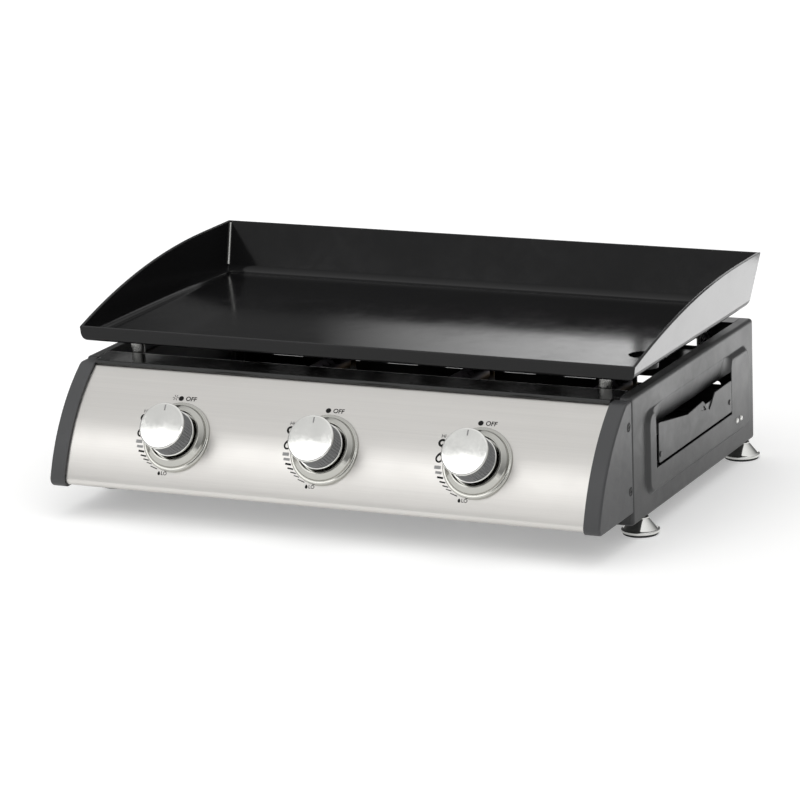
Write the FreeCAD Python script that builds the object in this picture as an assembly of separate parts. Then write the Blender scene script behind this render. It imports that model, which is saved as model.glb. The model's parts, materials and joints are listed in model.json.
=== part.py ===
"""Three-burner table-top gas griddle: a pressed plate on four posts over a low sheet-metal casing."""
import FreeCAD
import Part
import math
import os

os.makedirs("parts", exist_ok=True)

Vector = FreeCAD.Vector
ORIGIN = Vector(0, 0, 0)
X_AXIS = Vector(1, 0, 0)
Y_AXIS = Vector(0, 1, 0)
Z_AXIS = Vector(0, 0, 1)

# All sizes are millimetres. +X is the user's right at the controls, +Y is away from the user.
# Depths are measured from the casing's middle; DEPTH_SHIFT then moves the origin under the
# middle of the whole grill, knobs and gas inlet included.
DEPTH_SHIFT = 45.7

# Casing
CASE_HALF_WIDTH = 300.0
CASE_HALF_DEPTH = 176.0
CASE_FOOT = 17.5
CASE_TOP = 147.0
SHEET = 1.2
PANEL_BEND = 4.0
FOOT_FLANGE_WIDTH = 30.0
TOP_FLANGE_WIDTH = 12.0
END_FLANGE_WIDTH = 14.0
PAN_HALF_WIDTH = 282.0
PAN_FRONT = -171.0
PAN_RIM = 12.0
PAN_SLOT_HALF_LENGTH = 38.0
PAN_SLOT_HALF_WIDTH = 4.0
PAN_SLOT_FRONT = -110.0
PAN_SLOT_PITCH = 44.0
PAN_SLOT_ROWS = 6
BEND_NOTCH = 3.0
REAR_HALF_WIDTH = 295.0
REAR_FLANGE_EDGE = 150.0

# Raised field pressed into each side panel
FIELD_FRONT = -141.0
FIELD_REAR = 157.0
FIELD_LOW = 37.0
FIELD_HIGH = 125.0
FIELD_CORNER = 16.0
FIELD_HEIGHT = 4.0
FIELD_SLOPE = 4.5

# Grease tray and its opening in the right side panel
OPENING_FRONT = -120.5
OPENING_REAR = 97.5
OPENING_LOW = 63.0
OPENING_HIGH = 108.5
TRAY_INNER_X = 226.0
TRAY_FRONT_X = 302.8
TRAY_FLOOR = 65.0
TRAY_RIM = 92.0
TRAY_BODY_FRONT = -104.0
TRAY_BODY_REAR = 84.0
TRAY_PLATE_FRONT = -113.5
TRAY_PLATE_REAR = 96.5
TRAY_PLATE_LOW = 66.0
TRAY_EAR_TOP = 88.0
TRAY_RIVETS = ((-110.0, 74.5), (90.0, 77.5))
RIVET_HOLE = 1.7
RUNNER_OUTER_X = 296.0
RUNNER_LEDGE = 12.0
RUNNER_TAB_LOW = 45.0
RUNNER_TAB_HIGH = 60.0
RUNNER_TAB_REAR = 132.0
RUNNER_GUIDE_TOP = 96.0
PANEL_RIVETS = ((112.0, 52.5), (124.0, 52.5))

# Scoop pressed into the right side panel over the tray: its arc as (x, z), level with the raised field and
# at full depth, and the stations (y, share of the depth, distance outside the field) along it
SCOOP_LEVEL = ((300.3, 126.3), (303.6, 118.2), (305.5, 109.5))
SCOOP_DEEP = ((300.3, 126.3), (296.6, 110.7), (288.1, 97.3))
SCOOP_STATIONS = ((-143.0, 0.0, 6.0), (-123.0, 0.0, 0.0), (-95.0, 1.0, 0.0), (86.0, 1.0, 0.0),
                  (98.6, 0.0, 0.0), (114.0, 0.0, 6.0))
SCOOP_OUTSIDE = 325.0

# Control panel: an arc in side view, swept across the width
PANEL_RADIUS = 187.5
PANEL_TOP_Y = -187.0
PANEL_TOP_Z = 142.0
PANEL_FOOT_Y = -262.0
PANEL_FOOT_Z = 38.0
PANEL_HALF_WIDTH = 282.7
PANEL_SHEET = 1.0
PANEL_LIP_TOP = 142.3
PANEL_LIP_FOOT = 33.0
PANEL_REAR = -176.0

# End caps
CAP_INNER_X = 283.0
CAP_REAR = -176.5
CAP_WALL = 2.4
CAP_PROUD = 3.0
CAP_TOP = 144.5
CAP_FOOT = 31.0
CAP_SCREWS = ((-184.0, 120.0), (-182.0, 55.0))
SCREW_SEAT_RADIUS = 4.6
SCREW_SEAT_DEPTH = 1.2

# Controls
KNOB_PITCH = 164.4
KNOB_X = (-KNOB_PITCH, 0.0, KNOB_PITCH)
KNOB_TILT = 32.5
KNOB_NAMES = ("left", "centre", "right")
BEZEL_RADIUS = 36.3
BEZEL_HEIGHT = 9.0
BEZEL_FLOOR = 2.6
BEZEL_MOUTH = 26.0
BEZEL_STEP = 33.2
BEZEL_CREST = 28.0
BEZEL_HOLE = 7.5
KNOB_FOOT = 6.6
SKIRT_RADIUS = 24.3
SKIRT_TOP = 14.2
GRIP_RADIUS = 23.0
GRIP_CORE = 20.0
GRIP_TOP = 35.0
GRIP_RIBS = 48
CAP_RADIUS = 24.2
KNOB_HEIGHT = 37.6
STEM_RADIUS = 3.0
VALVE_RADIUS = 13.0
VALVE_FRONT = -12.0
VALVE_REAR = -48.0
PLUG_TOP = -22.0
PLUG_FOOT = -42.0
PLUG_TOP_RADIUS = 7.5
PLUG_FOOT_RADIUS = 5.7
RUNNING_GAP = 0.06

# Gas train
BURNER_Z = 74.0
BURNER_RADIUS = 12.5
BURNER_NECK = 10.0
BURNER_WALL = 1.0
BURNER_FRONT = -168.0
BURNER_REAR = 146.0
PORT_PITCH = 12.0
PORT_COUNT = 20
JET_SEAT = -178.0
ELECTRODE_SIDE = 24.0
ELECTRODE_Z = 92.0
ELECTRODE_BACK = -166.0
ELECTRODE_NOSE = -126.0
IGNITER_SIDE = 19.5
IGNITER_END = -42.0
MANIFOLD_Y = -212.0
MANIFOLD_Z = 43.5
MANIFOLD_RADIUS = 8.0
PIPE_X = -276.0
PIPE_RADIUS = 5.0
INLET_RADIUS = 6.58
INLET_END = 193.0
INLET_START = 160.0
INLET_BORE = 3.5
INLET_HEXAGON = 19.0
INLET_HEXAGON_HEIGHT = 5.0
PIPE_END = 168.0
MANIFOLD_LEFT = -215.0
MANIFOLD_RIGHT = 190.0

# Firebox walls
FRONT_WALL_Y = -150.0
SHELF_TOP = 110.0
SHELF_HALF_WIDTH = 284.0
BRACKET_Y = 154.0
SLOT_COUNT = 8
SLOT_PITCH = 69.5
SLOT_LENGTH = 41.5
SLOT_HEIGHT = 8.0
SLOT_ROWS = (72.6, 117.0)
REAR_SCREW_X = 291.0
REAR_SCREW_Z = (40.0, 82.0, 124.0)

# Griddle plate
PLATE_FLOOR = 163.5
PLATE_SHEET = 3.0
PLATE_LIP = 178.0
PLATE_TOP = 218.0
PLATE_FRONT = -177.0
PLATE_HALF_WIDTH = 305.0
SIDE_LEAN = 0.11
SIDE_BEND = 9.0
REAR_FOOT_Y = 153.3
REAR_LEAN = 0.431
REAR_BEND = 15.0
RIM_LEVEL_Y = 110.0
DRAIN_X = 276.0
DRAIN_Y = -81.0
DRAIN_RADIUS = 14.0
DRAIN_COLLAR = 9.0
DRAIN_WALL = 2.0
RIM_ROUND = 0.8
POST_RADIUS = 7.0
POST_X = 258.5
POST_Y = (-139.5, 138.0)
SPIGOT_RADIUS = 4.0

# Feet
FOOT_X = 292.0
FOOT_Y = (-137.0, 158.0)
FOOT_RIM = 19.5
PAD_HEIGHT = 2.5
PAD_RADIUS = 17.8
STUD_RADIUS = 2.5
STUD_TOP = 27.0
FOOT_NECK = 8.4


def on_xy(a, b):
    return Vector(a, b, 0)


def on_yz(a, b):
    return Vector(0, a, b)


def on_xz(a, b):
    return Vector(a, 0, b)


def tangent_path(points, radii, closed):
    """Wire through points with each corner rounded by its own radius."""
    count = len(points)
    corners = []
    for i, point in enumerate(points):
        at_end = not closed and i in (0, count - 1)
        if at_end or radii[i] <= 0:
            corners.append((point, None, point))
            continue
        before = points[i - 1].sub(point).normalize()
        after = points[(i + 1) % count].sub(point).normalize()
        half = before.getAngle(after) / 2
        reach = radii[i] / math.tan(half)
        inward = before.add(after).normalize()
        middle = point.add(inward.multiply(radii[i] / math.sin(half) - radii[i]))
        corners.append((point.add(before.multiply(reach)), middle, point.add(after.multiply(reach))))
    edges = []
    for i, (start, middle, end) in enumerate(corners):
        if middle is not None:
            edges.append(Part.Arc(start, middle, end).toShape())
        if i + 1 == count and not closed:
            break
        following = corners[(i + 1) % count][0]
        if following.sub(end).Length > 1e-6:
            edges.append(Part.LineSegment(end, following).toShape())
    return Part.Wire(edges)


def loop(outline, radii, plane):
    """Closed rounded outline on one of the three main planes."""
    points = [plane(a, b) for a, b in outline]
    return tangent_path(points, radii or [0] * len(points), True)


def prism_x(outline, x0, x1, radii=None):
    solid = Part.Face(loop(outline, radii, on_yz)).extrude(Vector(x1 - x0, 0, 0))
    solid.translate(Vector(x0, 0, 0))
    return solid


def prism_y(outline, y0, y1, radii=None):
    solid = Part.Face(loop(outline, radii, on_xz)).extrude(Vector(0, y1 - y0, 0))
    solid.translate(Vector(0, y0, 0))
    return solid


def prism_z(outline, z0, z1, radii=None):
    solid = Part.Face(loop(outline, radii, on_xy)).extrude(Vector(0, 0, z1 - z0))
    solid.translate(Vector(0, 0, z0))
    return solid


def block(x0, y0, z0, x1, y1, z1):
    return Part.makeBox(x1 - x0, y1 - y0, z1 - z0, Vector(x0, y0, z0))


def rod(radius, start, end):
    along = end.sub(start)
    return Part.makeCylinder(radius, along.Length, start, along)


def turned(outline, radii=None):
    """Solid of revolution about Z from a closed (radius, height) outline."""
    return Part.Face(loop(outline, radii, on_xz)).revolve(ORIGIN, Z_AXIS, 360)


def along_y(shape, x, z):
    """Turn a piece made along Z so that it lies along +Y, then put its axis at x, z."""
    lying = shape.copy()
    lying.rotate(ORIGIN, X_AXIS, -90)
    lying.translate(Vector(x, 0, z))
    return lying


def mirrored(shape):
    return shape.mirror(ORIGIN, X_AXIS)


def round_edges(shape, radius, picked):
    return shape.makeFillet(radius, [edge for edge in shape.Edges if picked(edge.CenterOfMass)])


def hexagon(across_flats):
    corner = across_flats / math.sqrt(3)
    turns = [math.radians(60 * i) for i in range(6)]
    return [(corner * math.cos(turn), corner * math.sin(turn)) for turn in turns]


def slot(a, b, half_a, half_b):
    """Corners of a slot about its middle."""
    return [(a - half_a, b - half_b), (a + half_a, b - half_b),
            (a + half_a, b + half_b), (a - half_a, b + half_b)]


def pipe(path, radius):
    """Round bar along a wire that starts with a straight run."""
    start = path.Edges[0].valueAt(path.Edges[0].FirstParameter)
    heading = path.Edges[0].tangentAt(path.Edges[0].FirstParameter)
    section = Part.Wire(Part.makeCircle(radius, start, heading))
    return Part.Solid(path.makePipeShell([section], True, False))


# Arc of the control panel, seen from the side
CHORD = Vector(0, PANEL_FOOT_Y - PANEL_TOP_Y, PANEL_FOOT_Z - PANEL_TOP_Z)
CHORD_MIDDLE = Vector(0, (PANEL_FOOT_Y + PANEL_TOP_Y) / 2, (PANEL_FOOT_Z + PANEL_TOP_Z) / 2)
TO_CENTRE = Vector(0, -CHORD.z, CHORD.y).normalize()
ARC_CENTRE = CHORD_MIDDLE.add(TO_CENTRE.multiply(math.sqrt(PANEL_RADIUS ** 2 - CHORD.Length ** 2 / 4)))

# Each knob's axis is the panel's own normal; its local Z points at the user, its local Y up the panel
KNOB_OUT = Vector(0, -math.cos(math.radians(KNOB_TILT)), math.sin(math.radians(KNOB_TILT)))
KNOB_SEAT = ARC_CENTRE.add(Vector(KNOB_OUT).multiply(PANEL_RADIUS))
KNOB_TURN = FreeCAD.Rotation(X_AXIS, 90 - KNOB_TILT)


def at_knob(shape, x):
    """Put a piece made about the local knob axis on the control panel."""
    placed = shape.copy()
    on_panel = FreeCAD.Placement(Vector(x, KNOB_SEAT.y, KNOB_SEAT.z), KNOB_TURN)
    placed.Placement = on_panel.multiply(shape.Placement)
    return placed


def knob_point(x, height):
    return Vector(x, 0, 0).add(KNOB_SEAT).add(Vector(KNOB_OUT).multiply(height))


def panel_box(inset, bend, open_x):
    """Pan with rounded bends, open towards the middle of the casing."""
    pan = block(open_x, -CASE_HALF_DEPTH + inset, CASE_FOOT + inset,
                CASE_HALF_WIDTH - inset, CASE_HALF_DEPTH - inset, CASE_TOP - inset)
    return round_edges(pan, bend, lambda middle: middle.x > open_x + 0.1)


def field_wire(x, inset):
    y0 = FIELD_FRONT + inset
    y1 = FIELD_REAR - inset
    z0 = FIELD_LOW + inset
    z1 = FIELD_HIGH - inset
    wire = loop([(y0, z0), (y1, z0), (y1, z1), (y0, z1)], [FIELD_CORNER - inset] * 4, on_yz)
    wire.translate(Vector(x, 0, 0))
    return wire


def field_block(x0, x1, inset0, inset1, edge_round):
    raised = Part.makeLoft([field_wire(x0, inset0), field_wire(x1, inset1)], True, True)
    return round_edges(raised, edge_round, lambda middle: middle.x > x1 - 0.01)


def plain_side_panel():
    """Right-hand side panel: a shallow pan with flanges all round and a raised field."""
    flange_x = CASE_HALF_WIDTH - FOOT_FLANGE_WIDTH
    panel = panel_box(0, PANEL_BEND, flange_x)
    panel = panel.cut(panel_box(SHEET, PANEL_BEND - SHEET, flange_x - 5))
    top_x = CASE_HALF_WIDTH - TOP_FLANGE_WIDTH
    end_x = CASE_HALF_WIDTH - END_FLANGE_WIDTH
    rear = CASE_HALF_DEPTH + 1
    panel = panel.cut(block(flange_x - 1, -rear, CASE_TOP - 8, top_x, rear, CASE_TOP + 1))
    for y0, y1 in ((-rear, -rear + 8), (rear - 8, rear)):
        panel = panel.cut(block(flange_x - 1, y0, CASE_FOOT + 2.5, end_x, y1, CASE_TOP))
    crest = CASE_HALF_WIDTH + FIELD_HEIGHT
    panel = panel.fuse(field_block(CASE_HALF_WIDTH - 0.6, crest, 0, FIELD_SLOPE, 3.0))
    panel = panel.cut(field_block(CASE_HALF_WIDTH - 2.0, crest - SHEET, 0.8, FIELD_SLOPE + 0.9, 2.0))
    panel = round_edges(panel, 2.0, on_field_foot)
    for y, z in CAP_SCREWS:
        tab = block(CASE_HALF_WIDTH - 3.7, y - 10, z - 9, CASE_HALF_WIDTH - 2.2, -175, z + 9)
        panel = panel.fuse(tab).cut(rod(1.9, Vector(280, y, z), Vector(300, y, z)))
    for y in FOOT_Y:
        panel = panel.cut(rod(STUD_RADIUS + 0.3, Vector(FOOT_X, y, 10), Vector(FOOT_X, y, 30)))
    for z in REAR_SCREW_Z:
        panel = panel.cut(rod(2.3, Vector(REAR_SCREW_X, 170, z), Vector(REAR_SCREW_X, 180, z)))
    return panel.removeSplitter()


def on_field_foot(middle):
    """True on the line where the raised field leaves the flat of the side panel."""
    inside = FIELD_FRONT - 1 < middle.y < FIELD_REAR + 1 and FIELD_LOW - 1 < middle.z < FIELD_HIGH + 1
    return inside and abs(middle.x - CASE_HALF_WIDTH) < 0.01


def scoop_space(inset, rise):
    """Space in front of the scoop, moved inwards by the inset and raised at its top."""
    sections = []
    for y, share, outside in SCOOP_STATIONS:
        arc = []
        for level, deep in zip(SCOOP_LEVEL, SCOOP_DEEP):
            x = level[0] + share * (deep[0] - level[0]) + outside - inset
            arc.append(Vector(x, y, level[1] + share * (deep[1] - level[1])))
        arc[0].z += rise
        low = Vector(SCOOP_OUTSIDE, y, arc[2].z)
        high = Vector(SCOOP_OUTSIDE, y, arc[0].z)
        edges = [Part.Arc(*arc).toShape(), Part.LineSegment(arc[2], low).toShape(),
                 Part.LineSegment(low, high).toShape(), Part.LineSegment(high, arc[0]).toShape()]
        sections.append(Part.Wire(edges))
    return Part.makeLoft(sections, True, True)


def tray_side_panel():
    """Right side panel with the grease tray's opening under a scoop that is pressed inwards."""
    crest = CASE_HALF_WIDTH + FIELD_HEIGHT
    panel = plain_side_panel()
    panel = panel.cut(block(crest - 6, OPENING_FRONT, OPENING_LOW, crest + 2, OPENING_REAR, OPENING_HIGH))
    space = scoop_space(0, 0)
    pressed = scoop_space(SHEET, SHEET).cut(space)
    outside = panel_box(0, PANEL_BEND, CASE_HALF_WIDTH - FOOT_FLANGE_WIDTH)
    outside = outside.fuse(field_block(CASE_HALF_WIDTH - 0.6, crest, 0, FIELD_SLOPE, 3.0))
    panel = panel.cut(space).fuse(pressed.common(outside))
    for y, z in PANEL_RIVETS:
        panel = panel.cut(rod(RIVET_HOLE, Vector(295, y, z), Vector(310, y, z)))
    return panel.removeSplitter()


def flange_edge():
    """Where the side panels' foot flanges end, with a little room."""
    return CASE_HALF_WIDTH - FOOT_FLANGE_WIDTH - 1


def base_pan():
    """Shallow floor pan with air slots under the burners, notched at the rear for the side panels' bends."""
    low = CASE_FOOT + SHEET
    rear = CASE_HALF_DEPTH - 2 * SHEET
    outer = block(-PAN_HALF_WIDTH, PAN_FRONT, low, PAN_HALF_WIDTH, rear, low + PAN_RIM)
    half = PAN_HALF_WIDTH - SHEET
    pan = outer.cut(block(-half, PAN_FRONT + SHEET, low + SHEET, half, rear - SHEET, low + PAN_RIM + 1))
    for x in KNOB_X:
        for row in range(PAN_SLOT_ROWS):
            y = PAN_SLOT_FRONT + PAN_SLOT_PITCH * row
            outline = slot(x, y, PAN_SLOT_HALF_LENGTH, PAN_SLOT_HALF_WIDTH)
            pan = pan.cut(prism_z(outline, low - 1, low + SHEET + 1, [PAN_SLOT_HALF_WIDTH - 0.1] * 4))
    corner = block(flange_edge(), rear - BEND_NOTCH, low - 1, CASE_HALF_WIDTH, rear + 1, low + BEND_NOTCH)
    return pan.cut(corner).cut(mirrored(corner))


def rear_panel():
    """Rear wall with a forward top flange, two rows of vent slots and the gas inlet's hole."""
    low = CASE_FOOT + SHEET
    outside = CASE_HALF_DEPTH - SHEET
    inside = outside - SHEET
    flange_half = CASE_HALF_WIDTH - TOP_FLANGE_WIDTH - 0.5
    outline = [(inside, low), (outside, low), (outside, CASE_TOP), (REAR_FLANGE_EDGE, CASE_TOP),
               (REAR_FLANGE_EDGE, CASE_TOP - SHEET), (inside, CASE_TOP - SHEET)]
    wall = prism_x(outline, -flange_half, flange_half, [0, 0, 3.0, 0, 0, 1.8])
    wall = wall.fuse(block(-REAR_HALF_WIDTH, inside, low, REAR_HALF_WIDTH, outside, CASE_TOP - PANEL_BEND))
    corner = block(flange_edge(), inside - 1, low - 1, CASE_HALF_WIDTH, outside + 1, low + BEND_NOTCH)
    wall = wall.cut(corner).cut(mirrored(corner))
    for z in SLOT_ROWS:
        for i in range(SLOT_COUNT):
            x = (i - (SLOT_COUNT - 1) / 2) * SLOT_PITCH
            outline = slot(x, z, SLOT_LENGTH / 2, SLOT_HEIGHT / 2)
            wall = wall.cut(prism_y(outline, inside - 1, outside + 1, [SLOT_HEIGHT * 0.45] * 4))
    inlet_way = rod(INLET_RADIUS + 0.3, Vector(PIPE_X, 160, MANIFOLD_Z), Vector(PIPE_X, 190, MANIFOLD_Z))
    wall = wall.cut(inlet_way)
    for side in (-1, 1):
        for z in REAR_SCREW_Z:
            x = side * REAR_SCREW_X
            wall = wall.cut(rod(2.0, Vector(x, 170, z), Vector(x, 180, z)))
    return wall.removeSplitter()


def front_rail():
    """Folded rail over the control panel, carried by the burner front wall."""
    front = PANEL_TOP_Y - 1.2
    outline = [(front, PANEL_LIP_TOP), (FRONT_WALL_Y, PANEL_LIP_TOP),
               (FRONT_WALL_Y, CASE_TOP), (front, CASE_TOP)]
    rail = prism_x(outline, -PANEL_HALF_WIDTH, PANEL_HALF_WIDTH, [1.8, 0, 0, 1.8])
    rail = rail.cut(block(-300, front + SHEET, PANEL_LIP_TOP + SHEET, 300, -140, CASE_TOP - SHEET))
    rail = rail.cut(block(-300, PANEL_REAR, PANEL_LIP_TOP - 1, 300, -140, CASE_TOP - SHEET))
    wing = CASE_HALF_WIDTH - TOP_FLANGE_WIDTH - 0.5
    rail = rail.fuse(block(-wing, PANEL_REAR, CASE_TOP - SHEET, wing, FRONT_WALL_Y + SHEET, CASE_TOP))
    return rail.removeSplitter()


def plate_shelf(wall_y, edge_y, leg_z, post_y):
    """Angle on an end wall of the firebox, with a hole for the spigot of each plate post."""
    inward = math.copysign(SHEET, edge_y - wall_y)
    under = SHELF_TOP - SHEET if leg_z > SHELF_TOP else SHELF_TOP
    level = SHELF_TOP if leg_z > SHELF_TOP else SHELF_TOP - SHEET
    outline = [(wall_y, under), (wall_y, leg_z), (wall_y + inward, leg_z), (wall_y + inward, level),
               (edge_y, level), (edge_y, under)]
    shelf = prism_x(outline, -SHELF_HALF_WIDTH, SHELF_HALF_WIDTH, [2.4, 0, 0, 1.2, 0, 0])
    for x in (-POST_X, POST_X):
        shelf = shelf.cut(rod(SPIGOT_RADIUS + 0.5, Vector(x, post_y, 90), Vector(x, post_y, 130)))
    return shelf


def burner_front_wall():
    """Screen between the flames and the controls; the burner necks pass through it."""
    low = CASE_FOOT + 2 * SHEET
    top = CASE_TOP - SHEET
    rear = FRONT_WALL_Y + SHEET
    inner = CASE_HALF_WIDTH - SHEET
    flange_half = CASE_HALF_WIDTH - TOP_FLANGE_WIDTH - 1
    pan_half = PAN_HALF_WIDTH - BEND_NOTCH
    wall = block(-inner, FRONT_WALL_Y, low + PAN_RIM, inner, rear, top - BEND_NOTCH)
    wall = wall.fuse(block(-pan_half, FRONT_WALL_Y, low, pan_half, rear, low + PAN_RIM + 1))
    wall = wall.fuse(block(-flange_half, FRONT_WALL_Y, top - BEND_NOTCH - 1, flange_half, rear, top))
    wall = wall.fuse(block(-flange_half, FRONT_WALL_Y - 10, top - SHEET, flange_half, rear, top))
    for x in KNOB_X:
        wall = wall.cut(rod(BURNER_NECK + 0.3, Vector(x, -160, BURNER_Z), Vector(x, -140, BURNER_Z)))
        side = x + ELECTRODE_SIDE
        wall = wall.cut(rod(3.5, Vector(side, -160, ELECTRODE_Z), Vector(side, -140, ELECTRODE_Z)))
    pipe_way = rod(PIPE_RADIUS + 0.8, Vector(PIPE_X, -160, MANIFOLD_Z), Vector(PIPE_X, -140, MANIFOLD_Z))
    return wall.cut(pipe_way).removeSplitter()


def nose_point(radius, z):
    reach = math.sqrt(radius ** 2 - (z - ARC_CENTRE.z) ** 2)
    return Vector(0, ARC_CENTRE.y - reach, z)


def nose_block(arc_radius, low, high, rear, x0, x1, low_round, high_round):
    """Prism across the width whose front is the panel's arc, with rounded foot and top."""
    foot = nose_point(arc_radius, low)
    crown = nose_point(arc_radius, high)
    front = Part.Arc(foot, nose_point(arc_radius, (low + high) / 2), crown).toShape()
    top = Part.LineSegment(crown, Vector(0, rear, high)).toShape()
    back = Part.LineSegment(Vector(0, rear, high), Vector(0, rear, low)).toShape()
    bottom = Part.LineSegment(Vector(0, rear, low), foot).toShape()
    solid = Part.Face(Part.Wire([front, top, back, bottom])).extrude(Vector(x1 - x0, 0, 0))
    solid.translate(Vector(x0, 0, 0))
    for corner, radius in ((foot, low_round), (crown, high_round)):
        solid = round_edges(solid, radius, lambda middle: abs(middle.y - corner.y) + abs(middle.z - corner.z) < 0.01)
    return solid


def control_panel():
    """Curved stainless fascia with a rolled foot and a flange under the front rail."""
    half = PANEL_HALF_WIDTH
    outer = nose_block(PANEL_RADIUS, PANEL_LIP_FOOT, PANEL_LIP_TOP, PANEL_REAR, -half, half, 6.0, 2.0)
    inner = nose_block(PANEL_RADIUS - PANEL_SHEET, PANEL_LIP_FOOT + PANEL_SHEET, PANEL_LIP_TOP - PANEL_SHEET,
                       PANEL_REAR + 9, -half - 1, half + 1, 5.0, 1.0)
    fascia = outer.cut(inner)
    fascia = fascia.cut(block(-300, -238, PANEL_LIP_FOOT - 1, 300, -170, PANEL_LIP_FOOT + 9))
    ears = nose_block(PANEL_RADIUS, 44, 134, -180, -half - 4, half + 4, 0.5, 0.5)
    ears = ears.cut(nose_block(PANEL_RADIUS - PANEL_SHEET, 30, 142, -170, -300, 300, 0.5, 0.5))
    fascia = fascia.fuse(ears)
    for x in KNOB_X:
        fascia = fascia.cut(rod(7.0, knob_point(x, -20), knob_point(x, 10)))
    return fascia.removeSplitter()


def end_cap():
    """Right-hand moulded cap, open to the middle and the rear, with two sunk screw seats."""
    radius = PANEL_RADIUS + CAP_PROUD
    outside = CASE_HALF_WIDTH
    cap = nose_block(radius, CAP_FOOT, CAP_TOP, CAP_REAR, CAP_INNER_X, outside, 8.0, 12.0)
    cap = round_edges(cap, 2.5, lambda middle: middle.x > outside - 0.01 and middle.y < CAP_REAR - 0.01)
    hollow = nose_block(radius - CAP_WALL, CAP_FOOT + CAP_WALL, CAP_TOP - CAP_WALL, CAP_REAR + 5,
                        CAP_INNER_X - 1, outside - 2.2, 5.6, 9.6)
    cap = cap.cut(hollow)
    for y, z in CAP_SCREWS:
        cap = cap.cut(rod(2.2, Vector(290, y, z), Vector(310, y, z)))
        cap = cap.cut(rod(SCREW_SEAT_RADIUS, Vector(outside - SCREW_SEAT_DEPTH, y, z), Vector(310, y, z)))
    return cap


def cap_screw(y, z):
    """Cross-head screw on the right end cap, along X."""
    head = turned([(0, -9), (1.75, -9), (1.75, 0), (4.2, 0), (4.2, 0.6), (2.4, 1.7), (0, 1.7)],
                  [0, 0.6, 0, 0.2, 0.2, 2.0, 0])
    for turn in (0, 90):
        cross = block(-2.2, -0.55, 0.6, 2.2, 0.55, 3)
        cross.rotate(ORIGIN, Z_AXIS, turn)
        head = head.cut(cross)
    head.rotate(ORIGIN, Y_AXIS, 90)
    head.translate(Vector(CASE_HALF_WIDTH - SCREW_SEAT_DEPTH, y, z))
    return head


def rear_screw(x, z):
    """Pan-head screw through the side panel's rear flange."""
    screw = turned([(0, -7), (1.75, -7), (1.75, 0), (4.0, 0), (4.0, 0.8), (2.2, 2.2), (0, 2.2)],
                   [0, 0.6, 0, 0.2, 0.3, 2.0, 0])
    screw = along_y(screw, x, z)
    screw.translate(Vector(0, CASE_HALF_DEPTH, 0))
    return screw


def rivet(x, y, z, grip):
    """Domed rivet along X; its head is outside x and its shank reaches in by the grip."""
    dome = turned([(0, -grip), (1.6, -grip), (1.6, 0), (3.1, 0), (2.4, 1.2), (0, 1.2)], [0, 0, 0, 0, 1.0, 0])
    dome.rotate(ORIGIN, Y_AXIS, 90)
    dome.translate(Vector(x, y, z))
    return dome


def bezel():
    """Stepped ring on the panel; its foot follows the panel's curve."""
    ring = turned([(BEZEL_HOLE, -5), (BEZEL_RADIUS, -5), (BEZEL_RADIUS, 2.0), (BEZEL_STEP, 2.2),
                   (BEZEL_STEP - 0.8, 5.2), (BEZEL_CREST, BEZEL_HEIGHT), (BEZEL_MOUTH, BEZEL_HEIGHT),
                   (BEZEL_MOUTH, BEZEL_FLOOR), (BEZEL_HOLE, BEZEL_FLOOR)],
                  [0, 0, 1.3, 0.8, 2.5, 1.2, 0.5, 0.8, 0])
    centre = -PANEL_RADIUS
    return ring.cut(rod(PANEL_RADIUS + 0.05, Vector(-40, 0, centre), Vector(40, 0, centre)))


def stem_section(radius, flat):
    """Round bar with one flat, for the knob's drive."""
    return rod(radius, Vector(0, 0, 6), Vector(0, 0, 28)).cut(block(-5, flat, 5, 5, 9, 35))


def knob_core():
    """Bright knob body: skirt, waist for the grip, and a slightly domed face with a pointer groove."""
    core = turned([(0, KNOB_FOOT), (SKIRT_RADIUS, KNOB_FOOT), (SKIRT_RADIUS, SKIRT_TOP),
                   (GRIP_CORE, SKIRT_TOP), (GRIP_CORE, GRIP_TOP), (CAP_RADIUS, GRIP_TOP),
                   (CAP_RADIUS, KNOB_HEIGHT - 0.6), (CAP_RADIUS - 1.4, KNOB_HEIGHT - 0.1), (0, KNOB_HEIGHT)],
                  [0, 0.5, 0.8, 0, 0, 0.6, 0.7, 1.5, 0])
    hollow = turned([(7.0, 0), (22.5, 0), (22.5, 12.4), (18.2, 12.4), (18.2, 32), (7.0, 32)])
    core = core.cut(hollow).cut(stem_section(STEM_RADIUS + 0.05, 2.25))
    return core.cut(block(-0.7, 16.0, KNOB_HEIGHT - 0.7, 0.7, 22.0, KNOB_HEIGHT + 1))


def knob_grip():
    """Ribbed sleeve round the knob's waist."""
    outline = []
    for i in range(GRIP_RIBS):
        for share, radius in ((-0.34, GRIP_RADIUS - 0.9), (-0.18, GRIP_RADIUS), (0.18, GRIP_RADIUS),
                              (0.34, GRIP_RADIUS - 0.9)):
            angle = 2 * math.pi * (i + share) / GRIP_RIBS
            outline.append((radius * math.cos(angle), radius * math.sin(angle)))
    sleeve = prism_z(outline, SKIRT_TOP, GRIP_TOP)
    return sleeve.cut(rod(GRIP_CORE + 0.1, Vector(0, 0, 0), Vector(0, 0, 50)))


def valve_stem():
    """Push-in spindle: drive end with a flat, thrust collar and the blade that turns the plug."""
    stem = rod(STEM_RADIUS, Vector(0, 0, VALVE_FRONT - 1), Vector(0, 0, 6.5))
    stem = stem.fuse(stem_section(STEM_RADIUS, 2.2))
    stem = stem.fuse(rod(6.5, Vector(0, 0, VALVE_FRONT - 1.8), Vector(0, 0, VALVE_FRONT - 0.2)))
    blade = block(-1.5, -5, PLUG_TOP - 6, 1.5, 5, VALVE_FRONT - 1)
    return stem.fuse(blade).removeSplitter()


def plug_radius(height):
    share = (height - PLUG_FOOT) / (PLUG_TOP - PLUG_FOOT)
    return PLUG_FOOT_RADIUS + share * (PLUG_TOP_RADIUS - PLUG_FOOT_RADIUS)


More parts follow.
